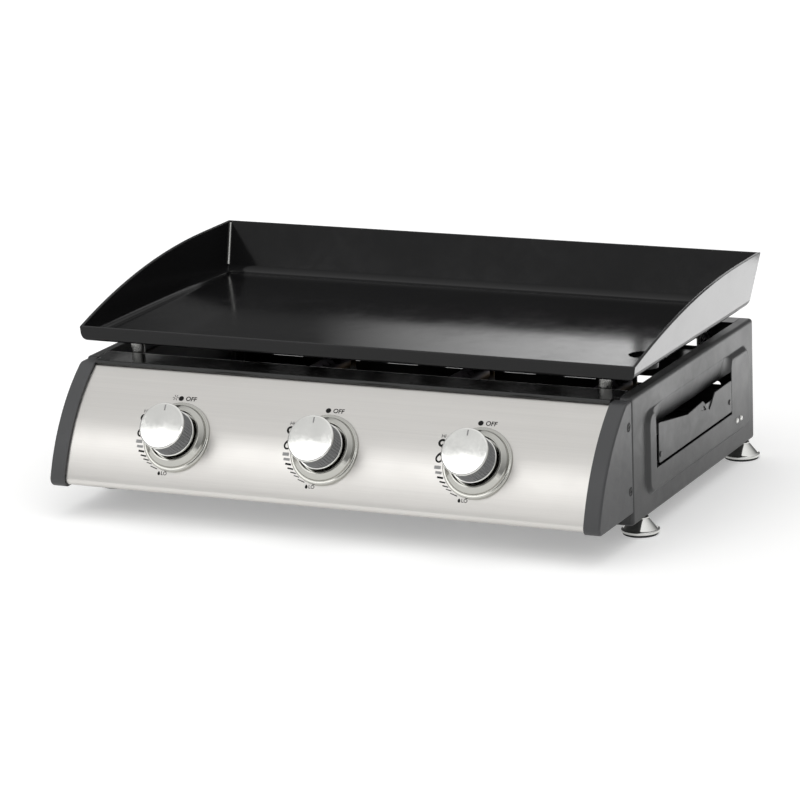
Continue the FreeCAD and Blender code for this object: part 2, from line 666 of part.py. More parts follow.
def valve_plug():
    """Tapered plug with a slot for the stem's blade and a cross port."""
    foot = PLUG_FOOT + 0.3
    plug = turned([(0, foot), (plug_radius(foot) - RUNNING_GAP, foot),
                   (PLUG_TOP_RADIUS - RUNNING_GAP, PLUG_TOP), (0, PLUG_TOP)])
    plug = plug.cut(block(-1.7, -9, PLUG_TOP - 11, 1.7, 9, PLUG_TOP + 1))
    return plug.cut(rod(1.8, Vector(-9, 0, PLUG_TOP - 15), Vector(9, 0, PLUG_TOP - 15)))


def valve_cover():
    """Plate that closes the valve and carries the igniter beside it."""
    ear = IGNITER_SIDE
    plate = rod(VALVE_RADIUS, Vector(0, 0, VALVE_FRONT), Vector(0, 0, VALVE_FRONT + 3))
    plate = plate.fuse(rod(7, Vector(ear, 0, VALVE_FRONT), Vector(ear, 0, VALVE_FRONT + 3)))
    plate = plate.fuse(block(0, -7, VALVE_FRONT, ear, 7, VALVE_FRONT + 3))
    return plate.cut(rod(STEM_RADIUS + 0.08, Vector(0, 0, -20), Vector(0, 0, 0))).removeSplitter()


def igniter():
    """Piezo igniter beside the valve."""
    body = turned([(0, IGNITER_END), (3, IGNITER_END), (3, IGNITER_END + 4), (6, IGNITER_END + 4),
                   (6, VALVE_FRONT), (0, VALVE_FRONT)], [0, 0, 0, 1, 0.5, 0])
    body.translate(Vector(IGNITER_SIDE, 0, 0))
    return body


def valve_body(x):
    """Valve housing with a bored seat, an inlet boss into the manifold and a level outlet to the jet."""
    body = at_knob(turned([(0, VALVE_REAR), (VALVE_RADIUS, VALVE_REAR), (VALVE_RADIUS, VALVE_FRONT),
                           (0, VALVE_FRONT)], [0, 3, 0, 0]), x)
    body = body.fuse(rod(5, Vector(x, MANIFOLD_Y, 66), Vector(x, MANIFOLD_Y, MANIFOLD_Z + 4)))
    body = body.fuse(rod(6, Vector(x, -214, BURNER_Z), Vector(x, JET_SEAT, BURNER_Z)))
    chamber = turned([(0, PLUG_FOOT), (PLUG_FOOT_RADIUS, PLUG_FOOT), (PLUG_TOP_RADIUS, PLUG_TOP),
                      (8.5, PLUG_TOP), (8.5, VALVE_FRONT + 1), (0, VALVE_FRONT + 1)])
    body = body.cut(at_knob(chamber, x))
    body = body.cut(rod(2, Vector(x, MANIFOLD_Y, MANIFOLD_Z), Vector(x, MANIFOLD_Y, 66)))
    return body.cut(rod(2, Vector(x, -214, BURNER_Z), Vector(x, JET_SEAT + 1, BURNER_Z)))


def gas_jet(x):
    """Hexagon jet on the valve's outlet, its tip inside the burner's mouth."""
    jet = prism_z(hexagon(11), JET_SEAT, JET_SEAT + 7)
    jet = jet.fuse(turned([(0, JET_SEAT), (4.5, JET_SEAT), (4.5, JET_SEAT + 12), (2.2, JET_SEAT + 16),
                           (0, JET_SEAT + 16)]))
    jet = jet.cut(rod(0.6, Vector(0, 0, JET_SEAT - 1), Vector(0, 0, JET_SEAT + 17)))
    return along_y(jet, x, BURNER_Z)


def gas_manifold():
    """Closed tube along the front with a seat for each valve; the feed pipe enters its left end."""
    left = Vector(MANIFOLD_LEFT, MANIFOLD_Y, MANIFOLD_Z)
    right = Vector(MANIFOLD_RIGHT, MANIFOLD_Y, MANIFOLD_Z)
    tube = round_edges(rod(MANIFOLD_RADIUS, left, right), 1.5, lambda middle: True)
    bore_start = left.add(Vector(6, 0, 0))
    tube = tube.cut(rod(MANIFOLD_RADIUS - 1.5, bore_start, right.sub(Vector(4, 0, 0))))
    tube = tube.cut(rod(PIPE_RADIUS + 0.05, left.sub(Vector(1, 0, 0)), bore_start.add(Vector(1, 0, 0))))
    for x in KNOB_X:
        seat = Vector(x, MANIFOLD_Y, MANIFOLD_Z)
        tube = tube.cut(rod(5.3, seat, seat.add(Vector(0, 0, 20))))
    return tube


def manifold_bracket(x):
    """Arm from the burner front wall that carries the manifold."""
    low = MANIFOLD_Z - MANIFOLD_RADIUS - SHEET
    outline = [(FRONT_WALL_Y, low), (FRONT_WALL_Y, low + 26), (FRONT_WALL_Y - SHEET, low + 26),
               (FRONT_WALL_Y - SHEET, low + SHEET), (MANIFOLD_Y - 11, low + SHEET), (MANIFOLD_Y - 11, low)]
    return prism_x(outline, x - 10, x + 10, [3.0, 0, 0, 1.8, 0, 0])


def feed_pipe():
    """Pipe from the rear inlet along the left side to the manifold."""
    points = [Vector(MANIFOLD_LEFT + 4, MANIFOLD_Y, MANIFOLD_Z), Vector(PIPE_X, MANIFOLD_Y, MANIFOLD_Z),
              Vector(PIPE_X, PIPE_END, MANIFOLD_Z)]
    path = tangent_path(points, [0, 26, 0], False)
    return pipe(path, PIPE_RADIUS).cut(pipe(path, PIPE_RADIUS - 1))


def gas_inlet():
    """Bulkhead nipple with a hexagon against the rear panel and a round spigot for the regulator."""
    face = CASE_HALF_DEPTH - SHEET
    body = prism_z(hexagon(INLET_HEXAGON), face, face + INLET_HEXAGON_HEIGHT)
    body.rotate(ORIGIN, Z_AXIS, 30)
    spigot = [(0, INLET_START), (INLET_RADIUS, INLET_START), (INLET_RADIUS, INLET_END), (0, INLET_END)]
    body = body.fuse(turned(spigot, [0, 0.5, 0.6, 0]))
    body = body.cut(rod(PIPE_RADIUS + 0.05, Vector(0, 0, INLET_START - 1), Vector(0, 0, PIPE_END)))
    body = body.cut(rod(INLET_BORE, Vector(0, 0, INLET_START), Vector(0, 0, INLET_END + 1)))
    return along_y(body, PIPE_X, MANIFOLD_Z)


def inlet_locknut():
    """Nut on the inlet nipple, inside the rear panel."""
    inner = CASE_HALF_DEPTH - 2 * SHEET
    nut = prism_z(hexagon(INLET_HEXAGON), inner - INLET_HEXAGON_HEIGHT, inner)
    nut = nut.cut(rod(INLET_RADIUS + 0.05, Vector(0, 0, INLET_START), Vector(0, 0, INLET_END)))
    return along_y(nut, PIPE_X, MANIFOLD_Z)


def burner(x):
    """Tube burner: open neck with air windows, a flared body with two rows of ports, a tail tongue."""
    front = BURNER_FRONT
    rear = BURNER_REAR
    wall = BURNER_WALL
    tube = turned([(BURNER_NECK - wall, front), (BURNER_NECK, front), (BURNER_NECK, front + 31),
                   (BURNER_RADIUS, front + 46), (BURNER_RADIUS, rear), (0, rear), (0, rear - wall),
                   (BURNER_RADIUS - wall, rear - wall), (BURNER_RADIUS - wall, front + 46.3),
                   (BURNER_NECK - wall, front + 31.3)],
                  [0, 0, 0, 0, 3, 0, 0, 2, 0, 0])
    tube = along_y(tube, 0, BURNER_Z)
    tube = tube.cut(block(-20, front + 4, BURNER_Z - 4, 20, front + 14, BURNER_Z + 4))
    slits = []
    for lean in (-40, 40):
        for i in range(PORT_COUNT):
            y = front + 62 + PORT_PITCH * i
            slit = block(-3, y, BURNER_RADIUS - 4, 3, y + 1.6, BURNER_RADIUS + 4)
            slit.rotate(ORIGIN, Y_AXIS, lean)
            slit.translate(Vector(0, 0, BURNER_Z))
            slits.append(slit)
    tube = tube.cut(Part.makeCompound(slits))
    tube = tube.fuse(block(-7, rear - 0.5, BURNER_Z - 1, 7, rear + 15, BURNER_Z + 1))
    tube.translate(Vector(x, 0, 0))
    return tube


def burner_rear_bracket(x):
    """Angle on the floor pan with a slot for one burner's tongue."""
    low = CASE_FOOT + 2 * SHEET
    outline = [(BRACKET_Y, low), (BRACKET_Y + 16, low), (BRACKET_Y + 16, low + SHEET),
               (BRACKET_Y + SHEET, low + SHEET), (BRACKET_Y + SHEET, 90), (BRACKET_Y, 90)]
    angle = prism_x(outline, x - 13, x + 13, [3.0, 0, 0, 1.8, 0, 0])
    return angle.cut(block(x - 7.5, BRACKET_Y - 2, BURNER_Z - 1, x + 7.5, BRACKET_Y + 4, BURNER_Z + 1.5))


def electrode(x):
    """Ceramic insulator through the burner front wall, with a collar against it."""
    collar = FRONT_WALL_Y - 2.5
    ceramic = turned([(0, ELECTRODE_BACK), (3.2, ELECTRODE_BACK), (3.2, collar), (5.5, collar),
                      (5.5, FRONT_WALL_Y), (3.2, FRONT_WALL_Y), (3.2, ELECTRODE_NOSE - 2), (2.0, ELECTRODE_NOSE),
                      (0, ELECTRODE_NOSE)])
    return along_y(ceramic, x + ELECTRODE_SIDE, ELECTRODE_Z)


def electrode_tip(x):
    """Spark wire that bends from the insulator to the first burner port."""
    side = x + ELECTRODE_SIDE
    reach = ELECTRODE_NOSE + 14
    points = [Vector(side, ELECTRODE_NOSE, ELECTRODE_Z), Vector(side, reach, ELECTRODE_Z),
              Vector(x + BURNER_RADIUS, reach, ELECTRODE_Z - 1)]
    return pipe(tangent_path(points, [0, 4, 0], False), 0.9)


def ignition_lead(x):
    """Lead from the igniter's end to the back of the electrode."""
    start = knob_point(x + IGNITER_SIDE, IGNITER_END)
    low = knob_point(x + IGNITER_SIDE, IGNITER_END - 15)
    side = x + ELECTRODE_SIDE
    back = Vector(side, ELECTRODE_BACK, ELECTRODE_Z)
    points = [start, low, back.sub(Vector(0, 15, 0)), back]
    return pipe(tangent_path(points, [0, 7, 7, 0], False), 1.4)


def tray_runner(side):
    """Bent runner beside the grease tray: foot on the pan, ledge under the tray, guide above it."""
    low = CASE_FOOT + 2 * SHEET
    pan_x = PAN_HALF_WIDTH - BEND_NOTCH
    inner_x = TRAY_INNER_X - 4
    outer_x = RUNNER_OUTER_X
    wall_in = TRAY_BODY_REAR + 4 if side > 0 else TRAY_BODY_FRONT - 4
    wall_out = wall_in + side * SHEET
    ledge = wall_in - side * RUNNER_LEDGE
    y0 = min(wall_in, wall_out)
    y1 = max(wall_in, wall_out)
    ledge_y0 = min(y0, ledge)
    ledge_y1 = max(y1, ledge)
    runner = block(inner_x, y0, low, outer_x, y1, RUNNER_GUIDE_TOP)
    runner = runner.fuse(block(inner_x, ledge_y0, TRAY_FLOOR - SHEET, outer_x, ledge_y1, TRAY_FLOOR))
    runner = runner.cut(block(pan_x, y0 - 1, low - 1, outer_x + 1, y1 + 1, low + PAN_RIM + 1))
    runner = runner.fuse(block(inner_x, ledge_y0, low, pan_x, ledge_y1, low + SHEET))
    if side > 0:
        inside = CASE_HALF_WIDTH + FIELD_HEIGHT - SHEET
        tab = block(inside - SHEET, y0, RUNNER_TAB_LOW, inside, RUNNER_TAB_REAR, RUNNER_TAB_HIGH)
        runner = runner.fuse(block(outer_x, y0, RUNNER_TAB_LOW, inside, y1, RUNNER_TAB_HIGH)).fuse(tab)
        for y, z in PANEL_RIVETS:
            runner = runner.cut(rod(RIVET_HOLE, Vector(290, y, z), Vector(310, y, z)))
    return runner.removeSplitter()


def grease_tray():
    """Folded tray, open at the top, with ears on its outer wall for the front plate."""
    outer = block(TRAY_INNER_X, TRAY_BODY_FRONT, TRAY_FLOOR, TRAY_FRONT_X, TRAY_BODY_REAR, TRAY_RIM)
    front = TRAY_FRONT_X - 0.1
    outer = round_edges(outer, 3.0, lambda middle: middle.z < TRAY_FLOOR + 0.1 and middle.x < front)
    inner = block(TRAY_INNER_X + SHEET, TRAY_BODY_FRONT + SHEET, TRAY_FLOOR + SHEET, TRAY_FRONT_X - SHEET,
                  TRAY_BODY_REAR - SHEET, TRAY_RIM + 9)
    inner = round_edges(inner, 1.8, lambda middle: middle.z < TRAY_FLOOR + SHEET + 0.1)
    ears = block(TRAY_FRONT_X - SHEET, TRAY_PLATE_FRONT + 1, TRAY_FLOOR + 3,
                 TRAY_FRONT_X, TRAY_PLATE_REAR - 1, TRAY_EAR_TOP)
    tray = outer.cut(inner).fuse(ears)
    for y, z in TRAY_RIVETS:
        tray = tray.cut(rod(RIVET_HOLE, Vector(290, y, z), Vector(310, y, z)))
    return tray.removeSplitter()


def tray_front():
    """Front plate of the grease tray: raised front end, a notch to pull it by, a three-cornered hole."""
    front = TRAY_PLATE_FRONT
    rear = TRAY_PLATE_REAR
    outline = [(front, TRAY_PLATE_LOW), (rear, TRAY_PLATE_LOW), (rear, 99), (47, 98.5), (31, 84), (12, 98),
               (-32, 95), (front, 107)]
    plate = prism_x(outline, TRAY_FRONT_X, TRAY_FRONT_X + SHEET, [3, 2, 2, 2, 1.5, 1.5, 8, 2])
    hole = [(14.5, 93), (3, 90.5), (23, 86)]
    plate = plate.cut(prism_x(hole, TRAY_FRONT_X - 1, TRAY_FRONT_X + 5, [0.8] * 3))
    for y, z in TRAY_RIVETS:
        plate = plate.cut(rod(RIVET_HOLE, Vector(290, y, z), Vector(310, y, z)))
    return plate


def plate_widths(inset, top):
    """Front view of the griddle plate: level floor, round lower bends, walls leaning outwards."""
    def half(z):
        return PLATE_HALF_WIDTH + SIDE_LEAN * (z - PLATE_LIP) - inset * math.hypot(1, SIDE_LEAN)
    low = PLATE_FLOOR + inset
    outline = [(-half(low), low), (half(low), low), (half(top), top), (-half(top), top)]
    bend = SIDE_BEND - inset
    return prism_y(outline, -260, 260, [bend, bend, 0, 0])


def rear_wall_y(z, inset):
    return REAR_FOOT_Y + REAR_LEAN * (z - PLATE_FLOOR - PLATE_SHEET) - inset * math.hypot(1, REAR_LEAN)


def plate_outside():
    """Side view of the griddle plate, its rim rising in an arc from the front lip to the level rear."""
    run = RIM_LEVEL_Y - PLATE_FRONT
    rise = PLATE_TOP - PLATE_LIP
    radius = (run ** 2 + rise ** 2) / (2 * rise)
    half_way = RIM_LEVEL_Y - run / 2
    arc_z = PLATE_TOP - radius + math.sqrt(radius ** 2 - (run / 2) ** 2)
    corners = [Vector(0, PLATE_FRONT, PLATE_FLOOR), Vector(0, rear_wall_y(PLATE_FLOOR, 0), PLATE_FLOOR),
               Vector(0, rear_wall_y(PLATE_TOP, 0), PLATE_TOP), Vector(0, RIM_LEVEL_Y, PLATE_TOP)]
    lip = Vector(0, PLATE_FRONT, PLATE_LIP)
    edges = tangent_path([lip] + corners, [0, 3.0, REAR_BEND, 1.0, 0], False).Edges
    edges.append(Part.Arc(corners[3], Vector(0, half_way, arc_z), lip).toShape())
    solid = Part.Face(Part.Wire(edges)).extrude(Vector(700, 0, 0))
    solid.translate(Vector(-350, 0, 0))
    return solid


def griddle_plate():
    """Pressed plate: floor, low front lip, side walls, leaning rear wall, drain with a drip collar."""
    sheet = PLATE_SHEET
    high = PLATE_TOP + 20
    outside = plate_widths(0, high).common(plate_outside())
    front = PLATE_FRONT + sheet
    floor = PLATE_FLOOR + sheet
    outline = [(front, floor), (rear_wall_y(floor, sheet), floor), (rear_wall_y(high, sheet), high),
               (front, high)]
    inside = plate_widths(sheet, high + 5).common(prism_x(outline, -350, 350, [1.0, REAR_BEND - sheet, 0, 0]))
    plate = outside.cut(inside)
    drain = Vector(DRAIN_X, DRAIN_Y, PLATE_FLOOR)
    collar_foot = drain.sub(Vector(0, 0, DRAIN_COLLAR))
    plate = plate.fuse(rod(DRAIN_RADIUS + DRAIN_WALL, collar_foot, drain.add(Vector(0, 0, 1))))
    plate = plate.cut(rod(DRAIN_RADIUS, collar_foot, drain.add(Vector(0, 0, PLATE_SHEET))))
    return plate.Solids[0].makeFillet(RIM_ROUND, rim_edges(plate.Solids[0]))


def rim_edges(plate):
    """Sharp top edges across the plate: both of the front lip and the inner one of the rear wall."""
    bent = rear_wall_y(PLATE_TOP, 0) - PLATE_SHEET / 2
    found = []
    for edge in plate.Edges:
        box = edge.BoundBox
        across = box.XLength > PLATE_HALF_WIDTH and box.YLength < 0.1
        if across and box.ZMin > PLATE_LIP - 0.1 and box.YMin < bent:
            found.append(edge)
    return found


def plate_post(x, y):
    """Shouldered post under the plate; its spigot drops into a hole in the shelf."""
    seat = SHELF_TOP
    post = turned([(0, seat - 10), (SPIGOT_RADIUS, seat - 10), (SPIGOT_RADIUS, seat), (POST_RADIUS, seat),
                   (POST_RADIUS, PLATE_FLOOR), (0, PLATE_FLOOR)], [0, 1.5, 0, 0.8, 0.5, 0])
    post.translate(Vector(x, y, 0))
    return post


def foot(x, y):
    """Bright conical foot with a flat rim and a stud through the casing's floor."""
    cone = turned([(0, PAD_HEIGHT), (FOOT_RIM, PAD_HEIGHT), (FOOT_RIM, PAD_HEIGHT + 2.6),
                   (FOOT_RIM - 2.1, PAD_HEIGHT + 3.4),
                   (FOOT_NECK, CASE_FOOT - 1.0), (FOOT_NECK, CASE_FOOT), (STUD_RADIUS, CASE_FOOT),
                   (STUD_RADIUS, STUD_TOP), (0, STUD_TOP)],
                  [0, 0.5, 1.0, 1.2, 0.8, 0.3, 0, 0.6, 0])
    cone.translate(Vector(x, y, 0))
    return cone


def foot_pad(x, y):
    pad = turned([(0, 0), (PAD_RADIUS, 0), (PAD_RADIUS, PAD_HEIGHT), (0, PAD_HEIGHT)], [0, 0.5, 0, 0])
    pad.translate(Vector(x, y, 0))
    return pad


def foot_nut(x, y):
    low = CASE_FOOT + SHEET
    nut = prism_z(hexagon(8), low, low + 4).cut(rod(STUD_RADIUS + 0.05, ORIGIN, Vector(0, 0, 40)))
    nut.rotate(ORIGIN, Z_AXIS, 30)
    nut.translate(Vector(x, y, 0))
    return nut


def save(name, shape):
    """Write one node, moved so that the grill's middle is over the origin."""
    placed = shape.copy()
    placed.translate(Vector(0, DEPTH_SHIFT, 0))
    placed.exportStep("parts/" + name + ".step")


def group(solids):
    return Part.makeCompound(list(solids))


FEET = [(x, y) for y in FOOT_Y for x in (-FOOT_X, FOOT_X)]
FOOT_NAMES = ("front_left", "front_right", "rear_left", "rear_right")

# Casing
save("base_pan", base_pan())
save("right_side_panel", tray_side_panel())
save("left_side_panel", mirrored(plain_side_panel()))
save("rear_panel", rear_panel())
save("front_rail", front_rail())
front_inside = FRONT_WALL_Y + SHEET
rear_inside = CASE_HALF_DEPTH - 2 * SHEET
front_shelf = plate_shelf(front_inside, front_inside + 22, SHELF_TOP + 25, POST_Y[0])
rear_shelf = plate_shelf(rear_inside, rear_inside - 48, SHELF_TOP - 25, POST_Y[1])
save("plate_shelves", group([front_shelf, rear_shelf]))
save("burner_front_wall", burner_front_wall())
save("control_panel", control_panel())
save("right_end_cap", end_cap())
save("left_end_cap", mirrored(end_cap()))
right_screws = [cap_screw(y, z) for y, z in CAP_SCREWS]
save("end_cap_screws", group(right_screws + [mirrored(screw) for screw in right_screws]))
save("rear_panel_screws", group(rear_screw(side * REAR_SCREW_X, z) for side in (-1, 1) for z in REAR_SCREW_Z))
crest_x = CASE_HALF_WIDTH + FIELD_HEIGHT
save("panel_rivets", group(rivet(crest_x, y, z, 2 * SHEET) for y, z in PANEL_RIVETS))
for name, (x, y) in zip(FOOT_NAMES, FEET):
    save("foot_" + name, foot(x, y))
save("foot_pads", group(foot_pad(x, y) for x, y in FEET))
save("foot_nuts", group(foot_nut(x, y) for x, y in FEET))

# Gas train
save("gas_manifold", gas_manifold())
save("manifold_brackets", group(manifold_bracket(x) for x in (-KNOB_PITCH / 2, KNOB_PITCH / 2)))
save("gas_feed_pipe", feed_pipe())
save("gas_inlet", gas_inlet())
save("inlet_locknut", inlet_locknut())
save("gas_jets", group(gas_jet(x) for x in KNOB_X))
save("burner_rear_brackets", group(burner_rear_bracket(x) for x in KNOB_X))
save("ignition_electrodes", group(electrode(x) for x in KNOB_X))
save("electrode_tips", group(electrode_tip(x) for x in KNOB_X))
save("valve_covers", group(at_knob(valve_cover(), x) for x in KNOB_X))
save("igniters", group(at_knob(igniter(), x) for x in KNOB_X))
save("ignition_leads", group(ignition_lead(x) for x in KNOB_X))
for name, x in zip(KNOB_NAMES, KNOB_X):
    save("burner_" + name, burner(x))
    save("valve_body_" + name, valve_body(x))
    save("valve_plug_" + name, at_knob(valve_plug(), x))
    save("valve_stem_" + name, at_knob(valve_stem(), x))
    save("bezel_" + name, at_knob(bezel(), x))
    save("knob_" + name, at_knob(knob_core(), x))
    save("knob_grip_" + name, at_knob(knob_grip(), x))

# Grease tray
save("tray_runners", group([tray_runner(-1), tray_runner(1)]))
save("grease_tray", grease_tray())
save("grease_tray_front", tray_front())
save("grease_tray_rivets", group(rivet(TRAY_FRONT_X + SHEET, y, z, 2 * SHEET) for y, z in TRAY_RIVETS))

# Griddle plate
save("griddle_plate", griddle_plate())
save("griddle_posts", group(plate_post(x, y) for y in POST_Y for x in (-POST_X, POST_X)))
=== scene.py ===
"""Finishes, printed dials, weld seams, inlet thread and studio for a table-top gas griddle."""

import json
import math

import bmesh
import bpy
from bpy.props import FloatProperty, FloatVectorProperty, IntProperty, PointerProperty
from mathutils import Matrix, Vector


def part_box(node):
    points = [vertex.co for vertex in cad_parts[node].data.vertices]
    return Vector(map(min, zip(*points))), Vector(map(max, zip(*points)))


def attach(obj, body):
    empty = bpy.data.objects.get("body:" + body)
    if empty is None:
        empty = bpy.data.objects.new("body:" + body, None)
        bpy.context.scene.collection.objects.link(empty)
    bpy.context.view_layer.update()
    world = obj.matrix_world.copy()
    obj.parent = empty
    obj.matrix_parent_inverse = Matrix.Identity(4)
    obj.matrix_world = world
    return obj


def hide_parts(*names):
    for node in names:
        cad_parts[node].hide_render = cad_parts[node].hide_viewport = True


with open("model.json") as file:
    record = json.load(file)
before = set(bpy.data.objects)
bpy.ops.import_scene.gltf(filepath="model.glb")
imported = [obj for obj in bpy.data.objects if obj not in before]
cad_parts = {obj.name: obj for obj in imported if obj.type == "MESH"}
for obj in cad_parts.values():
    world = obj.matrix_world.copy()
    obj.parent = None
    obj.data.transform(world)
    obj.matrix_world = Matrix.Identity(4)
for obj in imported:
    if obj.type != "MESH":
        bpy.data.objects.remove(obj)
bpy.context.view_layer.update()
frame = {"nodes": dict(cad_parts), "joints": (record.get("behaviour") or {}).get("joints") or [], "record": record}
NODES = frame["nodes"]
JOINTS = {joint["name"]: joint for joint in frame["joints"]}
KNOBS = ("left", "centre", "right")

bl_info = {
    "name": "Table-Top Gas Griddle",
    "version": (1, 0, 0),
    "blender": (4, 5, 0),
    "location": "3D View > Sidebar > Griddle",
    "description": "Finishes, dial marks and studio for the griddle's solids",
    "category": "Object",
}


def size(label, words, default):
    """Length in metres."""
    return FloatProperty(name=label, description=words, default=default, unit="LENGTH", precision=5)


def angle(label, words, degrees):
    """Angle whose default is given in degrees."""
    return FloatProperty(name=label, description=words, default=math.radians(degrees), subtype="ANGLE")


def brightness(label, words, default):
    """Strength of a light or a glow."""
    return FloatProperty(name=label, description=words, default=default)


def count(label, words, default, least):
    """Number of like marks."""
    return IntProperty(name=label, description=words, default=default, min=least)


def colour(label, words, default):
    """Colour in linear light."""
    return FloatVectorProperty(name=label, description=words, default=default, subtype="COLOR",
                               min=0.0, max=1.0)


class GriddleFinishes(bpy.types.PropertyGroup):
    """Colours of the griddle's finishes."""
    enamel: colour("Enamel", "Gloss enamel of the cooking plate", (0.006, 0.006, 0.0063))
    side_paint: colour("Side paint", "Satin powder coat of the side panels", (0.03, 0.0305, 0.031))
    black_paint: colour("Black paint", "Satin paint of the rails and inner walls", (0.008, 0.008, 0.008))
    steel: colour("Stainless steel", "Brushed sheet of the control panel", (0.66, 0.645, 0.62))
    cap: colour("End caps", "Moulded charcoal plastic", (0.056, 0.057, 0.059))
    chrome: colour("Chrome", "Plating of knobs and feet", (0.8, 0.8, 0.775))
    # Darker than the knobs' chrome: partly duller plating, partly painted shade for darker reflections.
    dull_shaded_bezel_chrome: colour("Bezel chrome", "Duller plating of the bezels", (0.5, 0.497, 0.465))
    grip: colour("Grip", "Ribbed sleeve of the knobs", (0.2, 0.202, 0.206))
    rubber: colour("Rubber", "Pads under the feet", (0.014, 0.014, 0.014))
    zinc: colour("Zinc plating", "Plated sheet, rivets and nuts", (0.6, 0.6, 0.58))
    brass: colour("Brass", "Jets, plugs, stems and gas inlet", (0.68, 0.5, 0.22))
    alloy: colour("Valve alloy", "Cast valve bodies", (0.55, 0.55, 0.55))
    ceramic: colour("Ceramic", "Electrode insulators", (0.82, 0.8, 0.75))
    lead: colour("Ignition lead", "Silicone sleeve of the leads", (0.28, 0.02, 0.015))
    ink: colour("Dial ink", "Printed marks round the knobs", (0.01, 0.01, 0.01))
    faint_ink: colour("Faint ink", "Pale flow bars and small letters", (0.3, 0.3, 0.3))
    straw: colour("Straw tint", "First heat tint of the burner tubes", (0.22, 0.155, 0.08))
    # Dark top of the burner tubes: partly heat tint, partly painted shade inside the casing.
    scorched_and_shaded: colour("Scorched steel", "Burner tubes above the ports", (0.075, 0.068, 0.078))


class GriddleDials(bpy.types.PropertyGroup):
    """Sizes of the printed dials, measured along the curved panel from each knob's axis."""
    panel_radius: size("Panel radius", "Radius of the control panel's curve", 0.1875)
    lift: size("Lift", "Height of the ink above the panel", 0.00006)
    ink_height: size("Ink height", "Thickness of the printed layer", 0.00004)
    off_height: size("OFF height", "Size of the OFF letters", 0.005)
    small_height: size("Small letters", "Size of the HI and LO letters", 0.0037)
    dot_radius: size("Dot radius", "Dot beside OFF", 0.0028)
    arrow_radius: size("Arrow radius", "Middle radius of the curved arrow", 0.0031)
    arrow_width: size("Arrow width", "Stroke of the curved arrow", 0.0023)
    flame_height: size("Flame height", "Height of the open flame sign", 0.011)
    low_flame_width: size("Low flame width", "Width of the small flame beside LO", 0.0032)
    low_flame_height: size("Low flame height", "Height of the small flame beside LO", 0.0042)
    spark_radius: size("Spark radius", "Reach of the spark sign's rays", 0.0034)
    bar_length: size("Bar length", "Length of the flow bars", 0.0069)
    first_bar: size("First bar", "Thickness of the thickest flow bar", 0.0034)
    tail_length: size("Tail length", "Length of the hairline after the flow bars", 0.008)
    tail_width: size("Tail width", "Thickness of that hairline", 0.0009)
    bars: count("Bars", "Number of flow bars before the tail", 6, 2)
    faint_bars: count("Faint bars", "Number of bars printed in faint ink", 2, 0)


class GriddleDetails(bpy.types.PropertyGroup):
    """Sizes of the small added details."""
    weld_radius: size("Weld radius", "Radius of the weld bead in the plate's corners", 0.0017)
    weld_pitch: size("Weld pitch", "Distance between the weld's ripples", 0.0022)
    thread_pitch: size("Thread pitch", "Pitch of the gas inlet's thread", 0.00134)
    thread_depth: size("Thread depth", "Height of the thread's crests", 0.0004)
    pointer_length: size("Pointer length", "Painted pointer in each knob's groove", 0.0056)
    pointer_width: size("Pointer width", "Width of the painted pointer", 0.0012)


class GriddleStudio(bpy.types.PropertyGroup):
    """Camera and light."""
    lens: FloatProperty(name="Lens", description="Focal length in millimetres", default=174.58, min=1.0)
    azimuth: angle("Azimuth", "Camera direction round the griddle", 24.97)
    elevation: angle("Elevation", "Camera height above the horizon", 14.36)
    roll: angle("Roll", "Tilt of the picture", 2.0)
    distance: size("Distance", "Camera to the casing's middle", 4.02975)
    across: size("Across", "Camera offset to the right", -0.02424)
    upward: size("Upward", "Camera offset upwards", -0.02976)
    target: FloatVectorProperty(name="Target", description="Point the camera is set out from",
                                default=(0.0, 0.0457, 0.11), subtype="XYZ", unit="LENGTH")
    floor: colour("Floor", "Pale studio floor", (0.8, 0.8, 0.795))
    near_glow: brightness("Near glow", "White added to the floor at the griddle", 0.34)
    far_glow: brightness("Far glow", "White added to the floor far away", 0.75)
    overhead: brightness("Overhead", "Strength of the room light from above", 0.95)
    front: brightness("Front", "Strength of the room light from the front", 0.4)
    back: brightness("Back", "Strength of the room light from the back", 0.08)


def settings(name):
    """One of the scene's setting groups."""
    return getattr(bpy.context.scene, "griddle_" + name)


def add_node(tree, kind, inputs=None, **values):
    """New shader node with its settings; each input is a constant or another node's output."""
    made = tree.nodes.new(kind)
    for key, value in values.items():
        setattr(made, key, value)
    for key, value in (inputs or {}).items():
        socket = made.inputs[key]
        if isinstance(value, bpy.types.NodeSocket):
            tree.links.new(value, socket)
        else:
            socket.default_value = value
    return made


def maths(tree, operation, first, second):
    """Result of a Math node."""
    return add_node(tree, "ShaderNodeMath", {0: first, 1: second}, operation=operation).outputs[0]


def spread(tree, value, low, high, from_low=0.0, from_high=1.0):
    """Map a value from one range to another."""
    ends = {"From Min": from_low, "From Max": from_high, "To Min": low, "To Max": high}
    return add_node(tree, "ShaderNodeMapRange", {"Value": value, **ends}).outputs["Result"]


def blend_colours(tree, factor, first, second):
    """Mix of two colours; the numbers are the colour sockets of the Mix node."""
    return add_node(tree, "ShaderNodeMix", {0: factor, 6: first, 7: second}, data_type="RGBA").outputs[2]


def shade(rgb, times=1.0):
    """Colour with alpha, made darker or brighter."""
    return tuple(min(1.0, channel * times) for channel in rgb) + (1.0,)


def new_effect(name, inputs, outputs):
    """Empty shader node group with named sockets."""
    tree = bpy.data.node_groups.new(name, "ShaderNodeTree")
    for label, value in inputs:
        socket = tree.interface.new_socket(name=label, in_out="INPUT", socket_type="NodeSocketFloat")
        socket.default_value = value
    for label, kind in outputs:
        tree.interface.new_socket(name=label, in_out="OUTPUT", socket_type=kind)
    return tree, tree.nodes.new("NodeGroupInput"), tree.nodes.new("NodeGroupOutput")


